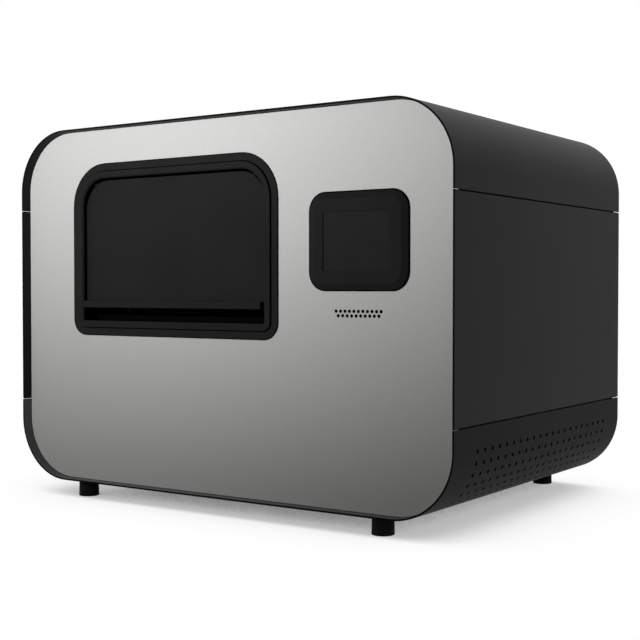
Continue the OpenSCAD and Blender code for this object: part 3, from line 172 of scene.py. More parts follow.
dress("cover_bumpers", moulded_rubber)

# Bright steel: screws, pins, rods, bars and bearings, ground and lightly oiled.
# Fine grinding marks run round each bar, so the gloss breaks up along its length.
GROUND_DARK, GROUND_PALE = "a9abad", "c6c8ca"
GRIND_MARKS = (0.6 * MM, 14 * MM, 14 * MM)
ground_steel, shader, place = start_material("ground_steel")
lie = add(ground_steel, "ShaderNodeMapping", {"Vector": place}, {"Scale": [1 / size for size in GRIND_MARKS]})
marks = add(ground_steel, "ShaderNodeTexNoise", {"Vector": lie.outputs["Vector"]},
            {"Scale": 1.0, "Detail": 3.0})
tone = add(ground_steel, "ShaderNodeValToRGB", {"Fac": marks.outputs["Fac"]},
           stops=[(0.3, GROUND_DARK), (0.75, GROUND_PALE)])
gloss = add(ground_steel, "ShaderNodeMapRange", {"Value": marks.outputs["Fac"]},
            {"To Min": 0.18, "To Max": 0.34})
put(ground_steel, shader, "Base Color", tone.outputs["Color"])
put(ground_steel, shader, "Roughness", gloss.outputs["Result"])
shader.inputs["Metallic"].default_value = 1.0
for node in ("foot_screws", "hinge_pins", "tie_bars", "bearings", "tractor_shaft", "guide_rod"):
    dress(node, ground_steel)

# Bottom tray: one aluminium sheet bent up round both lower corners, with rows of punched vent holes.
# It is powder coated charcoal, as the side panels, the cover and the rear plate are.
SHEET_EDGE = 0.4 * MM
EDGE_DARK, EDGE_PALE = "060606", "0c0c0c"
EDGE_DEPTH = 0.8 * MM
CORNER_R, SKIN_T = 90 * MM, 2.5 * MM
PEEL, PEEL_H, DRIFT = 1.4 * MM, 0.06 * MM, 160 * MM
DULL_SPREAD = 0.14
SHADE_MOTTLE = 6 * MM
# Baked powder coat: matt, with a fine orange peel and hardly any change of tone.
# The tray is from a slightly duller batch. Inside, the panels and the cover are drawn darker as painted
# shade, and the tray has a smoother coat that mirrors more at a low angle.
coats = {}
for name, dark, pale, mirror, dull in (
        ("powder_coat", "2f2f30", "343435", 0.045, 0.46),
        ("dull_coat", "313132", "363637", 0.022, 0.5),
        ("shaded_inner_coat", "1e1e1f", "222223", 0.045, 0.46),
        ("smooth_coat", "2f2f30", "343435", 0.8, 0.22)):
    coat, shader, place = start_material(name)
    peel = add(coat, "ShaderNodeTexNoise", {"Vector": place}, {"Scale": 1 / PEEL, "Detail": 2.0})
    drift = add(coat, "ShaderNodeTexNoise", {"Vector": place}, {"Scale": 1 / DRIFT, "Detail": 3.0})
    tone = add(coat, "ShaderNodeValToRGB", {"Fac": drift.outputs["Fac"]}, stops=[(0.3, dark), (0.7, pale)])
    bump = add(coat, "ShaderNodeBump", {"Height": peel.outputs["Fac"]},
               {"Strength": 0.15, "Distance": PEEL_H})
    gloss = add(coat, "ShaderNodeMapRange", {"Value": peel.outputs["Fac"]},
                {"To Min": dull, "To Max": dull + DULL_SPREAD})
    put(coat, shader, "Base Color", tone.outputs["Color"])
    put(coat, shader, "Roughness", gloss.outputs["Result"])
    put(coat, shader, "Normal", bump.outputs["Normal"])
    shader.inputs["Specular IOR Level"].default_value = mirror
    coats[name] = coat
# Painted shade: dull black on the sheet's cut edges, in its seams and on the walls of its vents and holes,
# where shade falls
painted_shade_black, shader, place = start_material("painted_shade_black")
shade_mottle = add(painted_shade_black, "ShaderNodeTexNoise", {"Vector": place}, {"Scale": 1 / SHADE_MOTTLE, "Detail": 3.0})
tone = add(painted_shade_black, "ShaderNodeValToRGB", {"Fac": shade_mottle.outputs["Fac"]},
           stops=[(0.3, EDGE_DARK), (0.7, EDGE_PALE)])
put(painted_shade_black, shader, "Base Color", tone.outputs["Color"])
shader.inputs["Roughness"].default_value = 0.7
shader.inputs["Specular IOR Level"].default_value = 0.03
shell_low, shell_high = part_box("bottom_tray")[0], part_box("top_cover")[1]


def skin_depth(at):
    """How deep a point lies under the shell's outside, an oblong with round corners seen from the front."""
    middle, half = (shell_low + shell_high) / 2, (shell_high - shell_low) / 2
    over = Vector((abs(at.x - middle.x) - half.x + CORNER_R, abs(at.z - middle.z) - half.z + CORNER_R))
    return CORNER_R - (over.length if min(over) > 0 else max(over))


def edge_in_painted_shade(at):
    """Whether a face's middle lies on the sheet's front or rear edge, in a seam or on the wall of a vent."""
    ends = at.y < shell_low.y + EDGE_DEPTH or at.y > shell_high.y - EDGE_DEPTH
    return ends or SHEET_EDGE / 2 < skin_depth(at) < SKIN_T - SHEET_EDGE / 2


def inside(at):
    """Whether a point lies on the inner side of the shell's sheet."""
    return skin_depth(at) > SKIN_T - SHEET_EDGE / 4


tray = eased("bottom_tray", SHEET_EDGE, coats["dull_coat"])
tint(tray, coats["smooth_coat"], inside)
# The tray's cut edges and the walls of its vents are painted black as shade
tint(tray, painted_shade_black, edge_in_painted_shade)
# Rails behind the lower seams, painted black all over as the shade seen through the seams
eased("seam_rails", SHEET_EDGE, painted_shade_black)

# Base plate, posts, brackets and cover rests: folded steel sheet, zinc plated and passivated.
# They are screwed together inside the case and carry the mechanism, the plates and the side panels.
ZINC_EDGE = 0.4 * MM
ZINC_DARK, ZINC_PALE = "8f9498", "b4b8bb"
SPANGLE, ZINC_CLOUD = 7 * MM, 40 * MM
# Zinc plating: grey metal with faint spangles, drawn larger than real ones so that they show
zinc_steel, shader, place = start_material("zinc_plated_steel")
spangle = add(zinc_steel, "ShaderNodeTexVoronoi", {"Vector": place}, {"Scale": 1 / SPANGLE})
cloud = add(zinc_steel, "ShaderNodeTexNoise", {"Vector": place}, {"Scale": 1 / ZINC_CLOUD, "Detail": 4.0})
mixed = add(zinc_steel, "ShaderNodeMix",
            {0: cloud.outputs["Fac"], 2: spangle.outputs["Color"], 3: cloud.outputs["Fac"]})
tone = add(zinc_steel, "ShaderNodeValToRGB", {"Fac": mixed.outputs[0]},
           stops=[(0.25, ZINC_DARK), (0.75, ZINC_PALE)])
gloss = add(zinc_steel, "ShaderNodeMapRange", {"Value": mixed.outputs[0]}, {"To Min": 0.3, "To Max": 0.5})
put(zinc_steel, shader, "Base Color", tone.outputs["Color"])
put(zinc_steel, shader, "Roughness", gloss.outputs["Result"])
shader.inputs["Metallic"].default_value = 1.0
for node in ("base_plate", "corner_posts", "plate_brackets", "cover_rests", "display_clamp",
             "hinge_fixed_leaves", "hinge_moving_leaves"):
    eased(node, ZINC_EDGE, zinc_steel)

# Side frames and belt pulleys: milled aluminium, bare.
# The cutter leaves fine straight lines that streak the gloss.
FRAME_EDGE = 0.5 * MM
MILLED_DARK, MILLED_PALE = "a7a9ab", "c9cbcc"
CUTTER_LINES = (3 * MM, 60 * MM, 0.8 * MM)
milled_aluminium, shader, place = start_material("milled_aluminium")
lie = add(milled_aluminium, "ShaderNodeMapping", {"Vector": place},
          {"Scale": [1 / size for size in CUTTER_LINES]})
lines = add(milled_aluminium, "ShaderNodeTexNoise", {"Vector": lie.outputs["Vector"]},
            {"Scale": 1.0, "Detail": 4.0})
tone = add(milled_aluminium, "ShaderNodeValToRGB", {"Fac": lines.outputs["Fac"]},
           stops=[(0.3, MILLED_DARK), (0.7, MILLED_PALE)])
gloss = add(milled_aluminium, "ShaderNodeMapRange", {"Value": lines.outputs["Fac"]},
            {"To Min": 0.28, "To Max": 0.45})
put(milled_aluminium, shader, "Base Color", tone.outputs["Color"])
put(milled_aluminium, shader, "Roughness", gloss.outputs["Result"])
shader.inputs["Metallic"].default_value = 1.0
for node in ("left_frame", "right_frame"):
    eased(node, FRAME_EDGE, milled_aluminium)
for node in ("cylinder_pulley", "motor_pulley", "tractor_pulley", "feed_pulley", "exit_pulley"):
    dress(node, milled_aluminium)

# Embossing cylinders: two ground steel rolls, geared together.
# Rows of small pits and pins at the pitch of braille dots cover them.
CYLINDER_R = 34.7 * MM
DOT_PITCH, DOT_DEPTH = 2.5 * MM, 0.4 * MM
DOT_IN, DOT_OUT = 0.2, 0.34
ROLL_DARK, ROLL_PALE = "8e9092", "bdbfc1"
for node in ("lower_cylinder", "upper_cylinder"):
    low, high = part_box(node)
    axis = (low + high) / 2
    # Rolled steel: bright between the dots and greyer in them, laid out round this cylinder's own axis
    rolled_steel, shader, place = start_material(node + "_steel")
    centred = add(rolled_steel, "ShaderNodeVectorMath", {0: place}, {1: axis}, operation="SUBTRACT")
    parts = add(rolled_steel, "ShaderNodeSeparateXYZ", {"Vector": centred.outputs["Vector"]})
    angle = add(rolled_steel, "ShaderNodeMath", {0: parts.outputs["Z"], 1: parts.outputs["Y"]},
                operation="ARCTAN2")
    round_way = add(rolled_steel, "ShaderNodeMath", {0: angle.outputs[0]}, {1: CYLINDER_R / DOT_PITCH},
                    operation="MULTIPLY")
    along = add(rolled_steel, "ShaderNodeMath", {0: parts.outputs["X"]}, {1: 1 / DOT_PITCH},
                operation="MULTIPLY")
    grid = add(rolled_steel, "ShaderNodeCombineXYZ", {"X": along.outputs[0], "Y": round_way.outputs[0]})
    dots = add(rolled_steel, "ShaderNodeTexVoronoi", {"Vector": grid.outputs["Vector"]},
               {"Scale": 1.0, "Randomness": 0.0})
    pit = add(rolled_steel, "ShaderNodeMapRange", {"Value": dots.outputs["Distance"]},
              {"From Min": DOT_IN, "From Max": DOT_OUT})
    tone = add(rolled_steel, "ShaderNodeValToRGB", {"Fac": pit.outputs["Result"]},
               stops=[(0.0, ROLL_DARK), (1.0, ROLL_PALE)])
    bump = add(rolled_steel, "ShaderNodeBump", {"Height": pit.outputs["Result"]},
               {"Strength": 0.6, "Distance": DOT_DEPTH})
    put(rolled_steel, shader, "Base Color", tone.outputs["Color"])
    put(rolled_steel, shader, "Normal", bump.outputs["Normal"])
    shader.inputs["Metallic"].default_value = 1.0
    shader.inputs["Roughness"].default_value = 0.3
    dress(node, rolled_steel)

# Cylinder gears: machined brass, so that they run quietly against each other.
# The brass has a warm, slightly tarnished tone, duller where it is darker.
BRASS_DARK, BRASS_PALE = "8a6a32", "b8934e"
TARNISH = 12 * MM
machined_brass, shader, place = start_material("machined_brass")
tarnish = add(machined_brass, "ShaderNodeTexNoise", {"Vector": place}, {"Scale": 1 / TARNISH, "Detail": 5.0})
tone = add(machined_brass, "ShaderNodeValToRGB", {"Fac": tarnish.outputs["Fac"]},
           stops=[(0.3, BRASS_DARK), (0.7, BRASS_PALE)])
gloss = add(machined_brass, "ShaderNodeMapRange", {"Value": tarnish.outputs["Fac"]},
            {"To Min": 0.42, "To Max": 0.24})
put(machined_brass, shader, "Base Color", tone.outputs["Color"])
put(machined_brass, shader, "Roughness", gloss.outputs["Result"])
shader.inputs["Metallic"].default_value = 1.0
dress("lower_gear", machined_brass)
dress("upper_gear", machined_brass)

# Motors: cast and turned bodies bolted to the side frames, in grey enamel.
# The enamel is satin, with dust that dulls it in patches.
MOTOR_EDGE = 0.6 * MM
ENAMEL_DARK, ENAMEL_PALE = "34373b", "43474b"
DUST = 20 * MM
motor_enamel, shader, place = start_material("motor_enamel")
dust = add(motor_enamel, "ShaderNodeTexNoise", {"Vector": place}, {"Scale": 1 / DUST, "Detail": 5.0})
tone = add(motor_enamel, "ShaderNodeValToRGB", {"Fac": dust.outputs["Fac"]},
           stops=[(0.35, ENAMEL_DARK), (0.7, ENAMEL_PALE)])
gloss = add(motor_enamel, "ShaderNodeMapRange", {"Value": dust.outputs["Fac"]},
            {"To Min": 0.35, "To Max": 0.55})
put(motor_enamel, shader, "Base Color", tone.outputs["Color"])
put(motor_enamel, shader, "Roughness", gloss.outputs["Result"])
for node in ("main_motor", "feed_motor"):
    eased(node, MOTOR_EDGE, motor_enamel)

# Drive belts: black rubber over cords that take the pull, round the pulleys of each drive.
# The cords show as faint stripes along the belt: a wave of this scale repeats about every four millimetres.
BELT_DARK, BELT_PALE = "0b0b0b", "1a1a19"
CORD_WAVE = 12 * MM
belt_rubber, shader, place = start_material("belt_rubber")
cords = add(belt_rubber, "ShaderNodeTexWave", {"Vector": place}, {"Scale": 1 / CORD_WAVE, "Distortion": 0.3})
tone = add(belt_rubber, "ShaderNodeValToRGB", {"Fac": cords.outputs["Fac"]},
           stops=[(0.2, BELT_DARK), (0.8, BELT_PALE)])
put(belt_rubber, shader, "Base Color", tone.outputs["Color"])
shader.inputs["Roughness"].default_value = 0.75
shader.inputs["Specular IOR Level"].default_value = 0.2
dress("main_belt", belt_rubber)
dress("feed_belt", belt_rubber)

# Tractors and their doors: moulded in dark glass-filled nylon, on the guide rod and the square shaft.
# The glass fibres leave a faint pale fleck in the dull surface.
NYLON_EDGE = 0.4 * MM
NYLON_DARK, NYLON_PALE = "27292c", "36393d"
FLECK, FLECK_H = 1.1 * MM, 0.05 * MM
filled_nylon, shader, place = start_material("filled_nylon")
fleck = add(filled_nylon, "ShaderNodeTexNoise", {"Vector": place}, {"Scale": 1 / FLECK, "Detail": 4.0})
tone = add(filled_nylon, "ShaderNodeValToRGB", {"Fac": fleck.outputs["Fac"]},
           stops=[(0.4, NYLON_DARK), (0.72, NYLON_PALE)])
bump = add(filled_nylon, "ShaderNodeBump", {"Height": fleck.outputs["Fac"]},
           {"Strength": 0.2, "Distance": FLECK_H})
put(filled_nylon, shader, "Base Color", tone.outputs["Color"])
put(filled_nylon, shader, "Normal", bump.outputs["Normal"])
shader.inputs["Roughness"].default_value = 0.5
for node in ("left_tractor", "right_tractor", "left_tractor_door", "right_tractor_door"):
    eased(node, NYLON_EDGE, filled_nylon)

# Pin wheels: moulded in natural acetal, which slides on the square shaft without oil.
# Acetal is waxy and off white, with slight clouds.
ACETAL_DARK, ACETAL_PALE = "c9c7ba", "dedcd2"
ACETAL_CLOUD = 8 * MM
natural_acetal, shader, place = start_material("natural_acetal")
cloud = add(natural_acetal, "ShaderNodeTexNoise", {"Vector": place},
            {"Scale": 1 / ACETAL_CLOUD, "Detail": 3.0})
tone = add(natural_acetal, "ShaderNodeValToRGB", {"Fac": cloud.outputs["Fac"]},
           stops=[(0.3, ACETAL_DARK), (0.7, ACETAL_PALE)])
put(natural_acetal, shader, "Base Color", tone.outputs["Color"])
shader.inputs["Roughness"].default_value = 0.35
dress("left_pin_wheel", natural_acetal)
dress("right_pin_wheel", natural_acetal)

# Exit and pinch rollers: black rubber sleeves, ground true on steel shafts.
# Grinding leaves the rubber dull, with a fine nap.
ROLLER_DARK, ROLLER_PALE = "161616", "222221"
NAP, NAP_H = 0.8 * MM, 0.06 * MM
ground_rubber, shader, place = start_material("ground_rubber")
nap = add(ground_rubber, "ShaderNodeTexNoise", {"Vector": place}, {"Scale": 1 / NAP, "Detail": 3.0})
tone = add(ground_rubber, "ShaderNodeValToRGB", {"Fac": nap.outputs["Fac"]},
           stops=[(0.3, ROLLER_DARK), (0.7, ROLLER_PALE)])
bump = add(ground_rubber, "ShaderNodeBump", {"Height": nap.outputs["Fac"]},
           {"Strength": 0.3, "Distance": NAP_H})
put(ground_rubber, shader, "Base Color", tone.outputs["Color"])
put(ground_rubber, shader, "Normal", bump.outputs["Normal"])
shader.inputs["Roughness"].default_value = 0.7
dress("exit_roller", ground_rubber)
dress("pinch_roller", ground_rubber)

# Paper guides: folded aluminium sheet between tractors, cylinders, exit rollers and outlet.
# They are anodised black and drawn near black as painted shade, so that the slot behind the outlet looks
# dark; paper has rubbed them a little.
GUIDE_EDGE = 0.3 * MM
GUIDE_DARK, GUIDE_PALE = "040404", "080808"
RUB_MARKS = (4 * MM, 70 * MM, 70 * MM)
anodised_and_shade_black, shader, place = start_material("anodised_aluminium_and_shade")
lie = add(anodised_and_shade_black, "ShaderNodeMapping", {"Vector": place}, {"Scale": [1 / size for size in RUB_MARKS]})
rub = add(anodised_and_shade_black, "ShaderNodeTexNoise", {"Vector": lie.outputs["Vector"]},
          {"Scale": 1.0, "Detail": 4.0})
tone = add(anodised_and_shade_black, "ShaderNodeValToRGB", {"Fac": rub.outputs["Fac"]},
           stops=[(0.4, GUIDE_DARK), (0.75, GUIDE_PALE)])
put(anodised_and_shade_black, shader, "Base Color", tone.outputs["Color"])
shader.inputs["Roughness"].default_value = 0.55
shader.inputs["Specular IOR Level"].default_value = 0.02
eased("paper_guides", GUIDE_EDGE, anodised_and_shade_black)

# Power supply: bought in, in a case of plain folded aluminium sheet with rolling marks along it.
# A black barrier strip at its front end takes the wires.
SUPPLY_EDGE = 0.5 * MM
SHEET_DARK, SHEET_PALE = "a8aaab", "c2c4c5"
ROLLING_MARKS = (90 * MM, 1.2 * MM, 1.2 * MM)
STRIP_L, STRIP_DEPTH, STRIP_OVER = 24 * MM, 9 * MM, 1 * MM
STRIP_DARK, STRIP_PALE = "141414", "1d1d1d"
RESIN_GRAIN = 2 * MM
plain_sheet, shader, place = start_material("rolled_aluminium_sheet")
lie = add(plain_sheet, "ShaderNodeMapping", {"Vector": place},
          {"Scale": [1 / size for size in ROLLING_MARKS]})
rolling = add(plain_sheet, "ShaderNodeTexNoise", {"Vector": lie.outputs["Vector"]},
              {"Scale": 1.0, "Detail": 4.0})
tone = add(plain_sheet, "ShaderNodeValToRGB", {"Fac": rolling.outputs["Fac"]},
           stops=[(0.3, SHEET_DARK), (0.7, SHEET_PALE)])
gloss = add(plain_sheet, "ShaderNodeMapRange", {"Value": rolling.outputs["Fac"]},
            {"To Min": 0.3, "To Max": 0.48})
put(plain_sheet, shader, "Base Color", tone.outputs["Color"])
put(plain_sheet, shader, "Roughness", gloss.outputs["Result"])
shader.inputs["Metallic"].default_value = 1.0
# Phenolic resin: the barrier strip and the bodies of chips, black and dull
phenolic_resin, shader, place = start_material("phenolic_resin")
grain = add(phenolic_resin, "ShaderNodeTexNoise", {"Vector": place},
            {"Scale": 1 / RESIN_GRAIN, "Detail": 3.0})
tone = add(phenolic_resin, "ShaderNodeValToRGB", {"Fac": grain.outputs["Fac"]},
           stops=[(0.3, STRIP_DARK), (0.7, STRIP_PALE)])
put(phenolic_resin, shader, "Base Color", tone.outputs["Color"])
shader.inputs["Roughness"].default_value = 0.6
supply = eased("power_supply", SUPPLY_EDGE, plain_sheet)
supply_low, supply_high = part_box("power_supply")
strip_top = (supply_low.z + supply_high.z) / 2


def on_strip(at):
    """Whether a face's middle lies on the ledge at half the case's height or in the slots for the wires."""
    return at.y < supply_low.y + STRIP_L and strip_top - STRIP_DEPTH < at.z < strip_top + STRIP_OVER


tint(supply, phenolic_resin, on_strip)

# Control board: glass-fibre laminate under green solder mask, on standoffs in front of the rear plate.
# It carries a processor, memory chips, capacitors in aluminium cans and a pale connector.
BOARD_EDGE = 0.3 * MM
MASK_DARK, MASK_PALE = "0f3d22", "1d5a34"
TRACKS = 40 * MM
CAN_H, CAN_FOOT = 14 * MM, 0.5 * MM
WHOLE_BOARD = ((-1, 1), (-1, 1))
CAN_AREA = ((0.020, 0.090), (0.060, 0.080))
HEADER_AREA = ((0.148, 0.162), (0.018, 0.072))
HEADER_DARK, HEADER_PALE = "cfcdc2", "dbd9cf"
HEADER_CLOUD = 5 * MM
# Solder mask: glossy green, paler where it runs over the copper tracks
solder_mask, shader, place = start_material("solder_mask")
tracks = add(solder_mask, "ShaderNodeTexBrick", {"Vector": place}, {"Scale": 1 / TRACKS, "Mortar Size": 0.03})
tone = add(solder_mask, "ShaderNodeValToRGB", {"Fac": tracks.outputs["Fac"]},
           stops=[(0.2, MASK_DARK), (0.8, MASK_PALE)])
put(solder_mask, shader, "Base Color", tone.outputs["Color"])
shader.inputs["Roughness"].default_value = 0.35
# Nylon: the connector's body, off white
white_nylon, shader, place = start_material("white_nylon")
cloud = add(white_nylon, "ShaderNodeTexNoise", {"Vector": place}, {"Scale": 1 / HEADER_CLOUD, "Detail": 2.0})
tone = add(white_nylon, "ShaderNodeValToRGB", {"Fac": cloud.outputs["Fac"]},
           stops=[(0.3, HEADER_DARK), (0.7, HEADER_PALE)])
put(white_nylon, shader, "Base Color", tone.outputs["Color"])
shader.inputs["Roughness"].default_value = 0.4
board = eased("control_board", BOARD_EDGE, solder_mask)
board_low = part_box("control_board")[0]


def on_board(at, area=WHOLE_BOARD):
    """Whether a face's middle stands up from the board, in an area measured from its lower left corner."""
    x, z = at.x - board_low.x, at.z - board_low.z
    within = area[0][0] < x < area[0][1] and area[1][0] < z < area[1][1]
    return within and at.y < board_low.y + CAN_H - CAN_FOOT


tint(board, phenolic_resin, on_board)
tint(board, milled_aluminium, lambda at: on_board(at, CAN_AREA))
tint(board, white_nylon, lambda at: on_board(at, HEADER_AREA))

# Port shells: folded tin-plated steel round the network and data sockets.
# The plating is bright and slightly streaked.
PORT_EDGE = 0.3 * MM
TIN_DARK, TIN_PALE = "a5a8aa", "c8cacb"
STREAK = 3 * MM
tin_plate, shader, place = start_material("tin_plate")
streak = add(tin_plate, "ShaderNodeTexNoise", {"Vector": place}, {"Scale": 1 / STREAK, "Detail": 3.0})
tone = add(tin_plate, "ShaderNodeValToRGB", {"Fac": streak.outputs["Fac"]},
           stops=[(0.3, TIN_DARK), (0.7, TIN_PALE)])
put(tin_plate, shader, "Base Color", tone.outputs["Color"])
shader.inputs["Metallic"].default_value = 1.0
shader.inputs["Roughness"].default_value = 0.25
eased("port_shells", PORT_EDGE, tin_plate)

# Rear plate: aluminium sheet punched for paper, air, ports and mains, in the same charcoal powder coat.
# It is screwed to the brackets and posts, set back like the front plate.
eased("rear_plate", SHEET_EDGE, coats["powder_coat"])

# Outlet frame, flap and display bezel: black ABS mouldings with a fine spark-eroded texture.
# The frame is pushed through the front plate, and the flap swings on a black rod inside the ring.
MOULD_EDGE = 0.4 * MM
BEZEL_EDGE, BEZEL_TURN = 0.9 * MM, 12
GRIT, GRIT_H, FLOW = 0.9 * MM, 0.05 * MM, 110 * MM
SHADE_LINING_DARK, SHADE_LINING_PALE = "020202", "040404"
SHADE_LINING_MOTTLE = 0.8 * MM
SLEEVE_SHADE_DEPTH = 1 * MM
OUTLET_TOP_R, OUTLET_BOTTOM_R = 63 * MM, 24 * MM
FLANGE_W, GROOVE_W, GROOVE_RISE = 10.7 * MM, 1.4 * MM, 3 * MM
ROUND_START, ROUND_END, SLOT_TOP = 19.5 * MM, 22.5 * MM, 60 * MM
SLOPE_START = 0.5 * MM
# Moulded ABS: black and dull, with a texture that breaks up its sheen.
# The bezel's slopes and the ring's inner edge above the slot are drawn a little darker, as painted shade.
plastics = []
for name, dark, pale in (("moulded_abs", "191919", "1d1d1d"), ("painted_shade_abs", "131313", "161616")):
    plastic, shader, place = start_material(name)
    grit = add(plastic, "ShaderNodeTexNoise", {"Vector": place}, {"Scale": 1 / GRIT, "Detail": 3.0})
    flow = add(plastic, "ShaderNodeTexNoise", {"Vector": place}, {"Scale": 1 / FLOW, "Detail": 2.0})
    tone = add(plastic, "ShaderNodeValToRGB", {"Fac": flow.outputs["Fac"]}, stops=[(0.3, dark), (0.7, pale)])
    bump = add(plastic, "ShaderNodeBump", {"Height": grit.outputs["Fac"]},
               {"Strength": 0.2, "Distance": GRIT_H})
    gloss = add(plastic, "ShaderNodeMapRange", {"Value": grit.outputs["Fac"]},
                {"To Min": 0.42, "To Max": 0.56})
    put(plastic, shader, "Base Color", tone.outputs["Color"])
    put(plastic, shader, "Roughness", gloss.outputs["Result"])
    put(plastic, shader, "Normal", bump.outputs["Normal"])
    shader.inputs["Specular IOR Level"].default_value = 0.06
    plastics.append(plastic)
moulded_abs, painted_shade_abs = plastics
# Painted shade: near black with a faint mottle, in the outlet's sleeve and groove, where shade falls
painted_shade_lining, shader, place = start_material("painted_shade_lining")
lining_mottle = add(painted_shade_lining, "ShaderNodeTexNoise", {"Vector": place}, {"Scale": 1 / SHADE_LINING_MOTTLE, "Detail": 2.0})
tone = add(painted_shade_lining, "ShaderNodeValToRGB", {"Fac": lining_mottle.outputs["Fac"]},
           stops=[(0.3, SHADE_LINING_DARK), (0.7, SHADE_LINING_PALE)])
put(painted_shade_lining, shader, "Base Color", tone.outputs["Color"])
shader.inputs["Roughness"].default_value = 1.0
shader.inputs["Specular IOR Level"].default_value = 0.0
bezel_low, bezel_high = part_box("display_bezel")
plate_face = bezel_high.y
glass_low, glass_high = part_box("touch_screen")
frame_low, frame_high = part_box("outlet_frame")


def frame_inward(at):
    """How far a point lies inside the outlet frame's outline, seen from the front."""
    middle, half = (frame_low + frame_high) / 2, (frame_high - frame_low) / 2
    r = OUTLET_TOP_R if at.z > middle.z else OUTLET_BOTTOM_R
    over = Vector((abs(at.x - middle.x) - half.x + r, abs(at.z - middle.z) - half.z + r))
    return r - Vector((max(over.x, 0), max(over.y, 0))).length - min(max(over.x, over.y), 0)


def in_groove(at):
    """Whether a point lies in the groove between the outlet frame's flange and its ring."""
    across = FLANGE_W < frame_inward(at) < FLANGE_W + GROOVE_W + MOULD_EDGE / 2
    return across and at.y > plate_face - GROOVE_RISE


def shade_lined(at):
    """Whether a face's middle lies in the outlet's sleeve or in its groove."""
    return at.y > plate_face + SLEEVE_SHADE_DEPTH or in_groove(at)


def ring_round(at):
    """Whether a face's middle lies on the rounding of the ring's inner edge, above the slot for the paper."""
    return ROUND_START < frame_inward(at) < ROUND_END and at.z > frame_low.z + SLOT_TOP


def on_slope(at):
    """Whether a face's middle lies behind the bezel's flat front and outside its opening."""
    beside = not (glass_low.x < at.x < glass_high.x and glass_low.z < at.z < glass_high.z)
    return beside and at.y > bezel_low.y + SLOPE_START


outlet = eased("outlet_frame", MOULD_EDGE, moulded_abs)
# The rounding of the ring's inner edge above the slot is painted darker as shade
tint(outlet, painted_shade_abs, ring_round)
# The sleeve and the groove are painted near black as shade
tint(outlet, painted_shade_lining, shade_lined)
# The groove's floor runs all round in one face, so its corners tell where it lies; it too is painted near
# black as shade
for face in outlet.data.polygons:
    if all(in_groove(outlet.data.vertices[i].co) for i in face.vertices):
        face.material_index = len(outlet.data.materials) - 1
eased("outlet_flap", MOULD_EDGE, moulded_abs)
bezel = eased("display_bezel", BEZEL_EDGE, moulded_abs, BEZEL_TURN)
# The bezel's slopes are painted darker as shade
tint(bezel, painted_shade_abs, on_slope)
for node in ("fan_frame", "fan_rotor", "power_rocker"):
    dress(node, moulded_abs)

# Mains inlet: the same black moulding, with three tinned blades in its socket.
# It snaps into the rear plate, and its socket lies in the lower half, under the rocker switch.
INLET_EDGE = 0.3 * MM
BLADE_REACH, BLADE_RISE = 9 * MM, 6 * MM
SOCKET_DEPTH, SOCKET_CLEAR = 16 * MM, 0.5 * MM
inlet = eased("power_inlet", INLET_EDGE, moulded_abs)
inlet_low, inlet_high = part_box("power_inlet")
socket_z = inlet_low.z + (inlet_high.z - inlet_low.z) / 4
socket = Vector(((inlet_low.x + inlet_high.x) / 2, inlet_high.y, socket_z))


def on_blade(at):
    """Whether a face's middle lies in the socket, clear of its floor and walls."""
    away = at - socket
    within = abs(away.x) < BLADE_REACH and abs(away.z) < BLADE_RISE
    return within and SOCKET_CLEAR - SOCKET_DEPTH < away.y < -SOCKET_CLEAR


tint(inlet, tin_plate, on_blade)

# Flap rod: steel wire in black oxide, held at its ends in the frame's sleeve.
# The oxide is dull and worn a little where the flap turns on it.
OXIDE_DARK, OXIDE_PALE = "0e0e0f", "19191a"
WEAR = 3 * MM
black_oxide, shader, place = start_material("black_oxide_steel")
wear = add(black_oxide, "ShaderNodeTexNoise", {"Vector": place}, {"Scale": 1 / WEAR, "Detail": 3.0})
tone = add(black_oxide, "ShaderNodeValToRGB", {"Fac": wear.outputs["Fac"]},
           stops=[(0.35, OXIDE_DARK), (0.75, OXIDE_PALE)])
put(black_oxide, shader, "Base Color", tone.outputs["Color"])
shader.inputs["Roughness"].default_value = 0.5
shader.inputs["Specular IOR Level"].default_value = 0.1
dress("flap_hinge_rod", black_oxide)

# Screws: steel button heads with a hexagon socket, turned in from the back.
# Black ones hold the rear plate to posts, brackets and fan.
# Zinc-plated ones hold the hinges' fixed leaves to the plate.
HEAD_R, HEAD_SIDES = 3.8 * MM, 24
HEAD_RINGS = ((1, 0), (1, 0.12), (0.84, 0.36), (0.58, 0.52))
SOCKET, SOCKET_TOP, SOCKET_FLOOR = 0.36, 0.56, 0.2
POST_INSET, POST_HEIGHTS = 15 * MM, (190 * MM, 300 * MM, 400 * MM)
BRACKET_X, BRACKET_SPREAD, BRACKET_Z = 215 * MM, 14 * MM, 52 * MM
FAN_INSET = 4.3 * MM
LEAF_X, LEAF_SPREAD, LEAF_RISE, LEAF_T = 200 * MM, 30 * MM, 11 * MM, 2 * MM


def bridge(work, ring, following):
    """Faces between two closed rings with as many corners."""
    for i in range(len(ring)):
        j = (i + 1) % len(ring)
        work.faces.new((ring[i], ring[j], following[j], following[i]))


def show_work(name, work, made, node):
    """New piece from finished faces, all turned outwards."""
    bmesh.ops.recalc_face_normals(work, faces=work.faces)
    mesh = bpy.data.meshes.new(name)
    work.to_mesh(mesh)
    work.free()
    show(name, mesh, made, node)


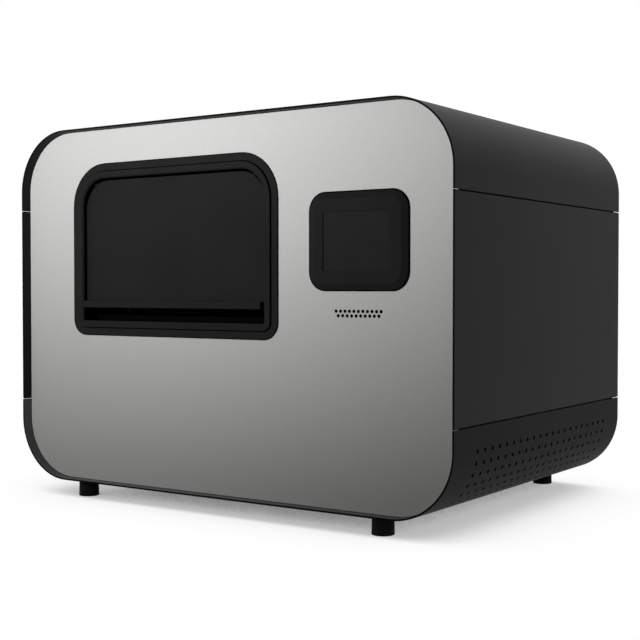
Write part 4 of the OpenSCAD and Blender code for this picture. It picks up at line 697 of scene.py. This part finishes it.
def screw_heads(name, node, spots, made):
    """Heads at x, y, z spots on a node, each looking to the back."""
    work = bmesh.new()
    turns = [math.tau * i / HEAD_SIDES for i in range(HEAD_SIDES)]
    hexagon = [SOCKET / math.cos(turn % (math.pi / 3) - math.pi / 6) for turn in turns]
    outlines = [([share] * HEAD_SIDES, rise) for share, rise in HEAD_RINGS]
    outlines += [(hexagon, SOCKET_TOP), (hexagon, SOCKET_FLOOR)]
    for x, y, z in spots:
        rings = []
        for outline, rise in outlines:
            ring = []
            for r, turn in zip(outline, turns):
                ring.append(work.verts.new((x + HEAD_R * r * math.cos(turn), y + HEAD_R * rise,
                                            z + HEAD_R * r * math.sin(turn))))
            rings.append(ring)
        work.faces.new(rings[0])
        work.faces.new(rings[-1])
        for ring, following in zip(rings, rings[1:]):
            bridge(work, ring, following)
    show_work(name, work, made, node)


sides = (-1, 1)
rear_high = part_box("rear_plate")[1]
leaf_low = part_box("hinge_fixed_leaves")[0]
fan_low, fan_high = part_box("fan_frame")
spots = [(side * (rear_high.x - POST_INSET), rear_high.y, z) for side in sides for z in POST_HEIGHTS]
spots += [(side * BRACKET_X + way * BRACKET_SPREAD, rear_high.y, BRACKET_Z)
          for side in sides for way in sides]
spots += [(x, rear_high.y, z) for x in (fan_low.x + FAN_INSET, fan_high.x - FAN_INSET)
          for z in (fan_low.z + FAN_INSET, fan_high.z - FAN_INSET)]
screw_heads("rear_plate_screws", "rear_plate", spots, black_oxide)
spots = [(side * LEAF_X + way * LEAF_SPREAD, rear_high.y + LEAF_T, leaf_low.z + LEAF_RISE)
         for side in sides for way in sides]
screw_heads("hinge_screws", "hinge_fixed_leaves", spots, zinc_steel)

# Speaker: a small bought-in loudspeaker behind the sound holes.
# Its cone is black coated paper, drawn near black as painted shade, so that the holes look black from
# outside.
CONE_DARK, CONE_PALE = "020202", "050505"
CONE_FIBRE = 0.7 * MM
black_paper_and_shade, shader, place = start_material("black_paper_and_shade")
fibre = add(black_paper_and_shade, "ShaderNodeTexNoise", {"Vector": place}, {"Scale": 1 / CONE_FIBRE, "Detail": 4.0})
tone = add(black_paper_and_shade, "ShaderNodeValToRGB", {"Fac": fibre.outputs["Fac"]},
           stops=[(0.3, CONE_DARK), (0.7, CONE_PALE)])
put(black_paper_and_shade, shader, "Base Color", tone.outputs["Color"])
shader.inputs["Roughness"].default_value = 0.9
shader.inputs["Specular IOR Level"].default_value = 0.05
dress("speaker", black_paper_and_shade)

# Touch screen: black-backed cover glass with the display module behind it.
# Switched off, it is a dark sheet with an anti-glare etch and faint finger marks.
GLASS_DARK, GLASS_PALE = "1d1d1e", "202021"
FINGER_MARK = 25 * MM
cover_glass, shader, place = start_material("cover_glass")
marks = add(cover_glass, "ShaderNodeTexNoise", {"Vector": place}, {"Scale": 1 / FINGER_MARK, "Detail": 4.0})
tone = add(cover_glass, "ShaderNodeValToRGB", {"Fac": marks.outputs["Fac"]},
           stops=[(0.3, GLASS_DARK), (0.7, GLASS_PALE)])
gloss = add(cover_glass, "ShaderNodeMapRange", {"Value": marks.outputs["Fac"]},
            {"To Min": 0.22, "To Max": 0.3})
put(cover_glass, shader, "Base Color", tone.outputs["Color"])
put(cover_glass, shader, "Roughness", gloss.outputs["Result"])
shader.inputs["Specular IOR Level"].default_value = 0.06
dress("touch_screen", cover_glass)

# Painted shadow lines: thin near black cords round the feet of bezel and outlet frame, on the front plate,
# that stand for the shadow gap there.
# Seen from the front they draw a thin black line round each.
SHADOW_CORD_OUT, SHADOW_CORD_ROUND = 0.2 * MM, 0.3 * MM
BEZEL_SHADOW_H, BEZEL_SHADOW_IN = 1.75 * MM, 3.0 * MM
OUTLET_SHADOW_H, OUTLET_SHADOW_IN = 1.4 * MM, 0.8 * MM
BEZEL_R = 25 * MM
SHADOW_CORD_STEPS = 12
SHADOW_CORD_DARK, SHADOW_CORD_PALE = "010101", "030303"
SHADOW_CORD_MOTTLE = 1.5 * MM
shadow_line_black, shader, place = start_material("painted_shadow_line")
skin = add(shadow_line_black, "ShaderNodeTexNoise", {"Vector": place}, {"Scale": 1 / SHADOW_CORD_MOTTLE, "Detail": 2.0})
tone = add(shadow_line_black, "ShaderNodeValToRGB", {"Fac": skin.outputs["Fac"]},
           stops=[(0.3, SHADOW_CORD_DARK), (0.7, SHADOW_CORD_PALE)])
put(shadow_line_black, shader, "Base Color", tone.outputs["Color"])
shader.inputs["Roughness"].default_value = 0.8
shader.inputs["Specular IOR Level"].default_value = 0.01


def shadow_cord(name, node, top_r, bottom_r, rise, inward):
    """Near black cord of painted shadow round a node's outline on the front plate, with round corners."""
    low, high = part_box(node)
    section = ((SHADOW_CORD_OUT, 0), (SHADOW_CORD_OUT, rise - SHADOW_CORD_ROUND), (SHADOW_CORD_OUT - SHADOW_CORD_ROUND, rise),
               (-inward, rise), (-inward, 0))
    corners = ((high.x - top_r, high.z - top_r, top_r), (low.x + top_r, high.z - top_r, top_r),
               (low.x + bottom_r, low.z + bottom_r, bottom_r),
               (high.x - bottom_r, low.z + bottom_r, bottom_r))
    work = bmesh.new()
    rings = []
    for out, up in section:
        ring = []
        for quarter, (x, z, r) in enumerate(corners):
            for step in range(SHADOW_CORD_STEPS + 1):
                turn = math.pi / 2 * (quarter + step / SHADOW_CORD_STEPS)
                ring.append(work.verts.new((x + (r + out) * math.cos(turn), plate_face - up,
                                            z + (r + out) * math.sin(turn))))
        rings.append(ring)
    for ring, following in zip(rings, rings[1:] + rings[:1]):
        bridge(work, ring, following)
    show_work(name, work, shadow_line_black, node)


# Both cords draw painted shadow round their pieces
shadow_cord("bezel_shadow_line", "display_bezel", BEZEL_R, BEZEL_R, BEZEL_SHADOW_H, BEZEL_SHADOW_IN)
shadow_cord("outlet_shadow_line", "outlet_frame", OUTLET_TOP_R, OUTLET_BOTTOM_R, OUTLET_SHADOW_H, OUTLET_SHADOW_IN)

# Front plate: flat aluminium sheet in silver metallic lacquer, set back behind the shell's front edge.
# Fine flakes in the lacquer sparkle a little and keep its sheen broad; they are drawn large enough to show.
PLATE_EDGE = 0.2 * MM
SILVER_DARK, SILVER_PALE = "b7b7b5", "bebebc"
FLAKE, FLAKE_H = 0.9 * MM, 0.03 * MM
silver_lacquer, shader, place = start_material("silver_lacquer")
flake = add(silver_lacquer, "ShaderNodeTexVoronoi", {"Vector": place}, {"Scale": 1 / FLAKE})
tone = add(silver_lacquer, "ShaderNodeValToRGB", {"Fac": flake.outputs["Color"]},
           stops=[(0.2, SILVER_DARK), (0.8, SILVER_PALE)])
bump = add(silver_lacquer, "ShaderNodeBump", {"Height": flake.outputs["Distance"]},
           {"Strength": 0.05, "Distance": FLAKE_H})
put(silver_lacquer, shader, "Base Color", tone.outputs["Color"])
put(silver_lacquer, shader, "Normal", bump.outputs["Normal"])
shader.inputs["Roughness"].default_value = 0.5
shader.inputs["Specular IOR Level"].default_value = 0.15
front = eased("front_plate", PLATE_EDGE, silver_lacquer)
speaker_low, speaker_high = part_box("speaker")


def sound_hole_shade_wall(at):
    """Whether a face's middle lies on the wall of a sound hole, which is painted black as shade."""
    within = speaker_low.x < at.x < speaker_high.x and speaker_low.z < at.z < speaker_high.z
    return within and plate_face + PLATE_EDGE / 2 < at.y < speaker_low.y - PLATE_EDGE / 2


# The walls of the sound holes are painted black as shade
tint(front, painted_shade_black, sound_hole_shade_wall)

# Side panels and top cover: sheet in the tray's powder coat, with the panels' edges sheared at a slant.
# The panels are screwed to the posts; the cover is bent over both upper corners and swings on rear hinges.
SEAM_SLANT = 1.6 * MM
panel_low, panel_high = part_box("right_side_panel")


def slanted(at):
    """Lets the inner side of a panel's upper and lower edge reach further into the seam than its outside."""
    if inside(at) and min(at.z - panel_low.z, panel_high.z - at.z) < SHEET_EDGE:
        at.z += math.copysign(SEAM_SLANT, at.z - (panel_low.z + panel_high.z) / 2)


for node, moved in (("left_side_panel", slanted), ("right_side_panel", slanted), ("top_cover", None)):
    sheet = eased(node, SHEET_EDGE, coats["powder_coat"], moved=moved)
    # Inside, the sheets are drawn darker as painted shade
    tint(sheet, coats["shaded_inner_coat"], inside)
    # Their cut edges and seams are painted black as shade
    tint(sheet, painted_shade_black, edge_in_painted_shade)

# Studio: a white floor that runs out to a white room, and keeps the soft shadow round the feet.
# A long soft lamp stands low in front and looks up past the machine, one hangs above it and a narrow one
# over its front edge, and two fill the right side and the back. The camera is low, at the right front corner.
FLOOR_R, FLOOR_SIDES = 6.0, 96
SHADOW_REACH, SHADOW_RAYS = 0.2, 16
SHADOW_STOPS = [(0.0, "666666"), (0.06, "b6b6b6"), (0.2, "b9b9b9"), (0.4, "dbdbdb"), (0.62, "f8f8f8"),
                (0.85, "ffffff")]
BOUNCE = "202020"
ROOM_LEVEL = 0.08
LENS, SENSOR_W = 67.65, 36
CAMERA_PLACE = (1.0508, -1.5469, 0.3115)
CAMERA_TILT, CAMERA_TURN = 88.524, 34.312
work = bmesh.new()
bmesh.ops.create_circle(work, cap_ends=True, radius=FLOOR_R, segments=FLOOR_SIDES)
floor_mesh = bpy.data.meshes.new("studio_floor")
work.to_mesh(floor_mesh)
work.free()
studio_floor = bpy.data.objects.new("studio_floor", floor_mesh)
bpy.context.scene.collection.objects.link(studio_floor)


def seen_directly(made):
    """Output that is 1 for what the camera, a reflection or a clear piece shows, 0 for other light."""
    ray = add(made, "ShaderNodeLightPath")
    seen = add(made, "ShaderNodeMath", {0: ray.outputs["Is Camera Ray"], 1: ray.outputs["Is Glossy Ray"]},
               operation="MAXIMUM")
    seen = add(made, "ShaderNodeMath", {0: seen.outputs[0], 1: ray.outputs["Is Transmission Ray"]},
               operation="MAXIMUM")
    return seen.outputs[0]


# White paper: bright to the eye, with a soft shadow where the machine stands close above it
paper_floor, shader, place = start_material("paper_floor")
open_sky = add(paper_floor, "ShaderNodeAmbientOcclusion", values={"Distance": SHADOW_REACH},
               samples=SHADOW_RAYS)
level = add(paper_floor, "ShaderNodeValToRGB", {"Fac": open_sky.outputs["AO"]}, stops=SHADOW_STOPS)
shown = seen_directly(paper_floor)
tone = add(paper_floor, "ShaderNodeValToRGB", {"Fac": shown}, stops=[(0.0, BOUNCE), (1.0, "000000")])
put(paper_floor, shader, "Base Color", tone.outputs["Color"])
put(paper_floor, shader, "Emission Color", level.outputs["Color"])
put(paper_floor, shader, "Emission Strength", shown)
shader.inputs["Roughness"].default_value = 1.0
shader.inputs["Specular IOR Level"].default_value = 0.0
floor_mesh.materials.append(paper_floor)

# White room: white to the eye and in reflections, and only a dim light on the machine
world = bpy.data.worlds.new("white_room")
bpy.context.scene.world = world
world.use_nodes = True
room = world.node_tree.nodes["Background"]
level = add(world, "ShaderNodeMapRange", {"Value": seen_directly(world)},
            {"To Min": ROOM_LEVEL, "To Max": 1.0})
room.inputs["Color"].default_value = (1.0, 1.0, 1.0, 1.0)
put(world, room, "Strength", level.outputs["Result"])


def soft_lamp(name, place, aim, size, power):
    """Soft lamp with an oblong face, given as width and height, that looks at a point."""
    light = bpy.data.lights.new(name, "AREA")
    light.shape = "RECTANGLE"
    light.size, light.size_y = size
    light.energy = power
    lamp = bpy.data.objects.new(name, light)
    lamp.location = place
    lamp.rotation_mode = "QUATERNION"
    lamp.rotation_quaternion = (Vector(aim) - Vector(place)).to_track_quat("-Z", "Y")
    lamp.visible_camera = False
    lamp.visible_glossy = False
    bpy.context.scene.collection.objects.link(lamp)


soft_lamp("front_lamp", (-0.1, -1.14, 0.48), (-0.33, -0.26, 1.68), (0.6, 0.2), 18)
soft_lamp("top_lamp", (0.2, 0.4, 1.7), (0.1, 0, 0.5), (0.8, 0.8), 14)
soft_lamp("case_lamp", (0, -0.29, 2.0), (0, -0.29, 0), (0.9, 0.1), 8)
soft_lamp("fill_lamp", (2.6, 0.6, 0.9), (0.37, 0, 0.3), (1.5, 1.5), 12)
soft_lamp("rear_lamp", (-1.8, 1.7, 0.28), (-0.1, 0, 0.28), (1.6, 0.5), 36)

camera_data = bpy.data.cameras.new("camera")
camera_data.lens = LENS
camera_data.sensor_width = SENSOR_W
camera = bpy.data.objects.new("camera", camera_data)
camera.location = CAMERA_PLACE
camera.rotation_euler = (math.radians(CAMERA_TILT), 0, math.radians(CAMERA_TURN))
bpy.context.scene.collection.objects.link(camera)
bpy.context.scene.camera = camera
bpy.context.scene.view_settings.view_transform = "Standard"
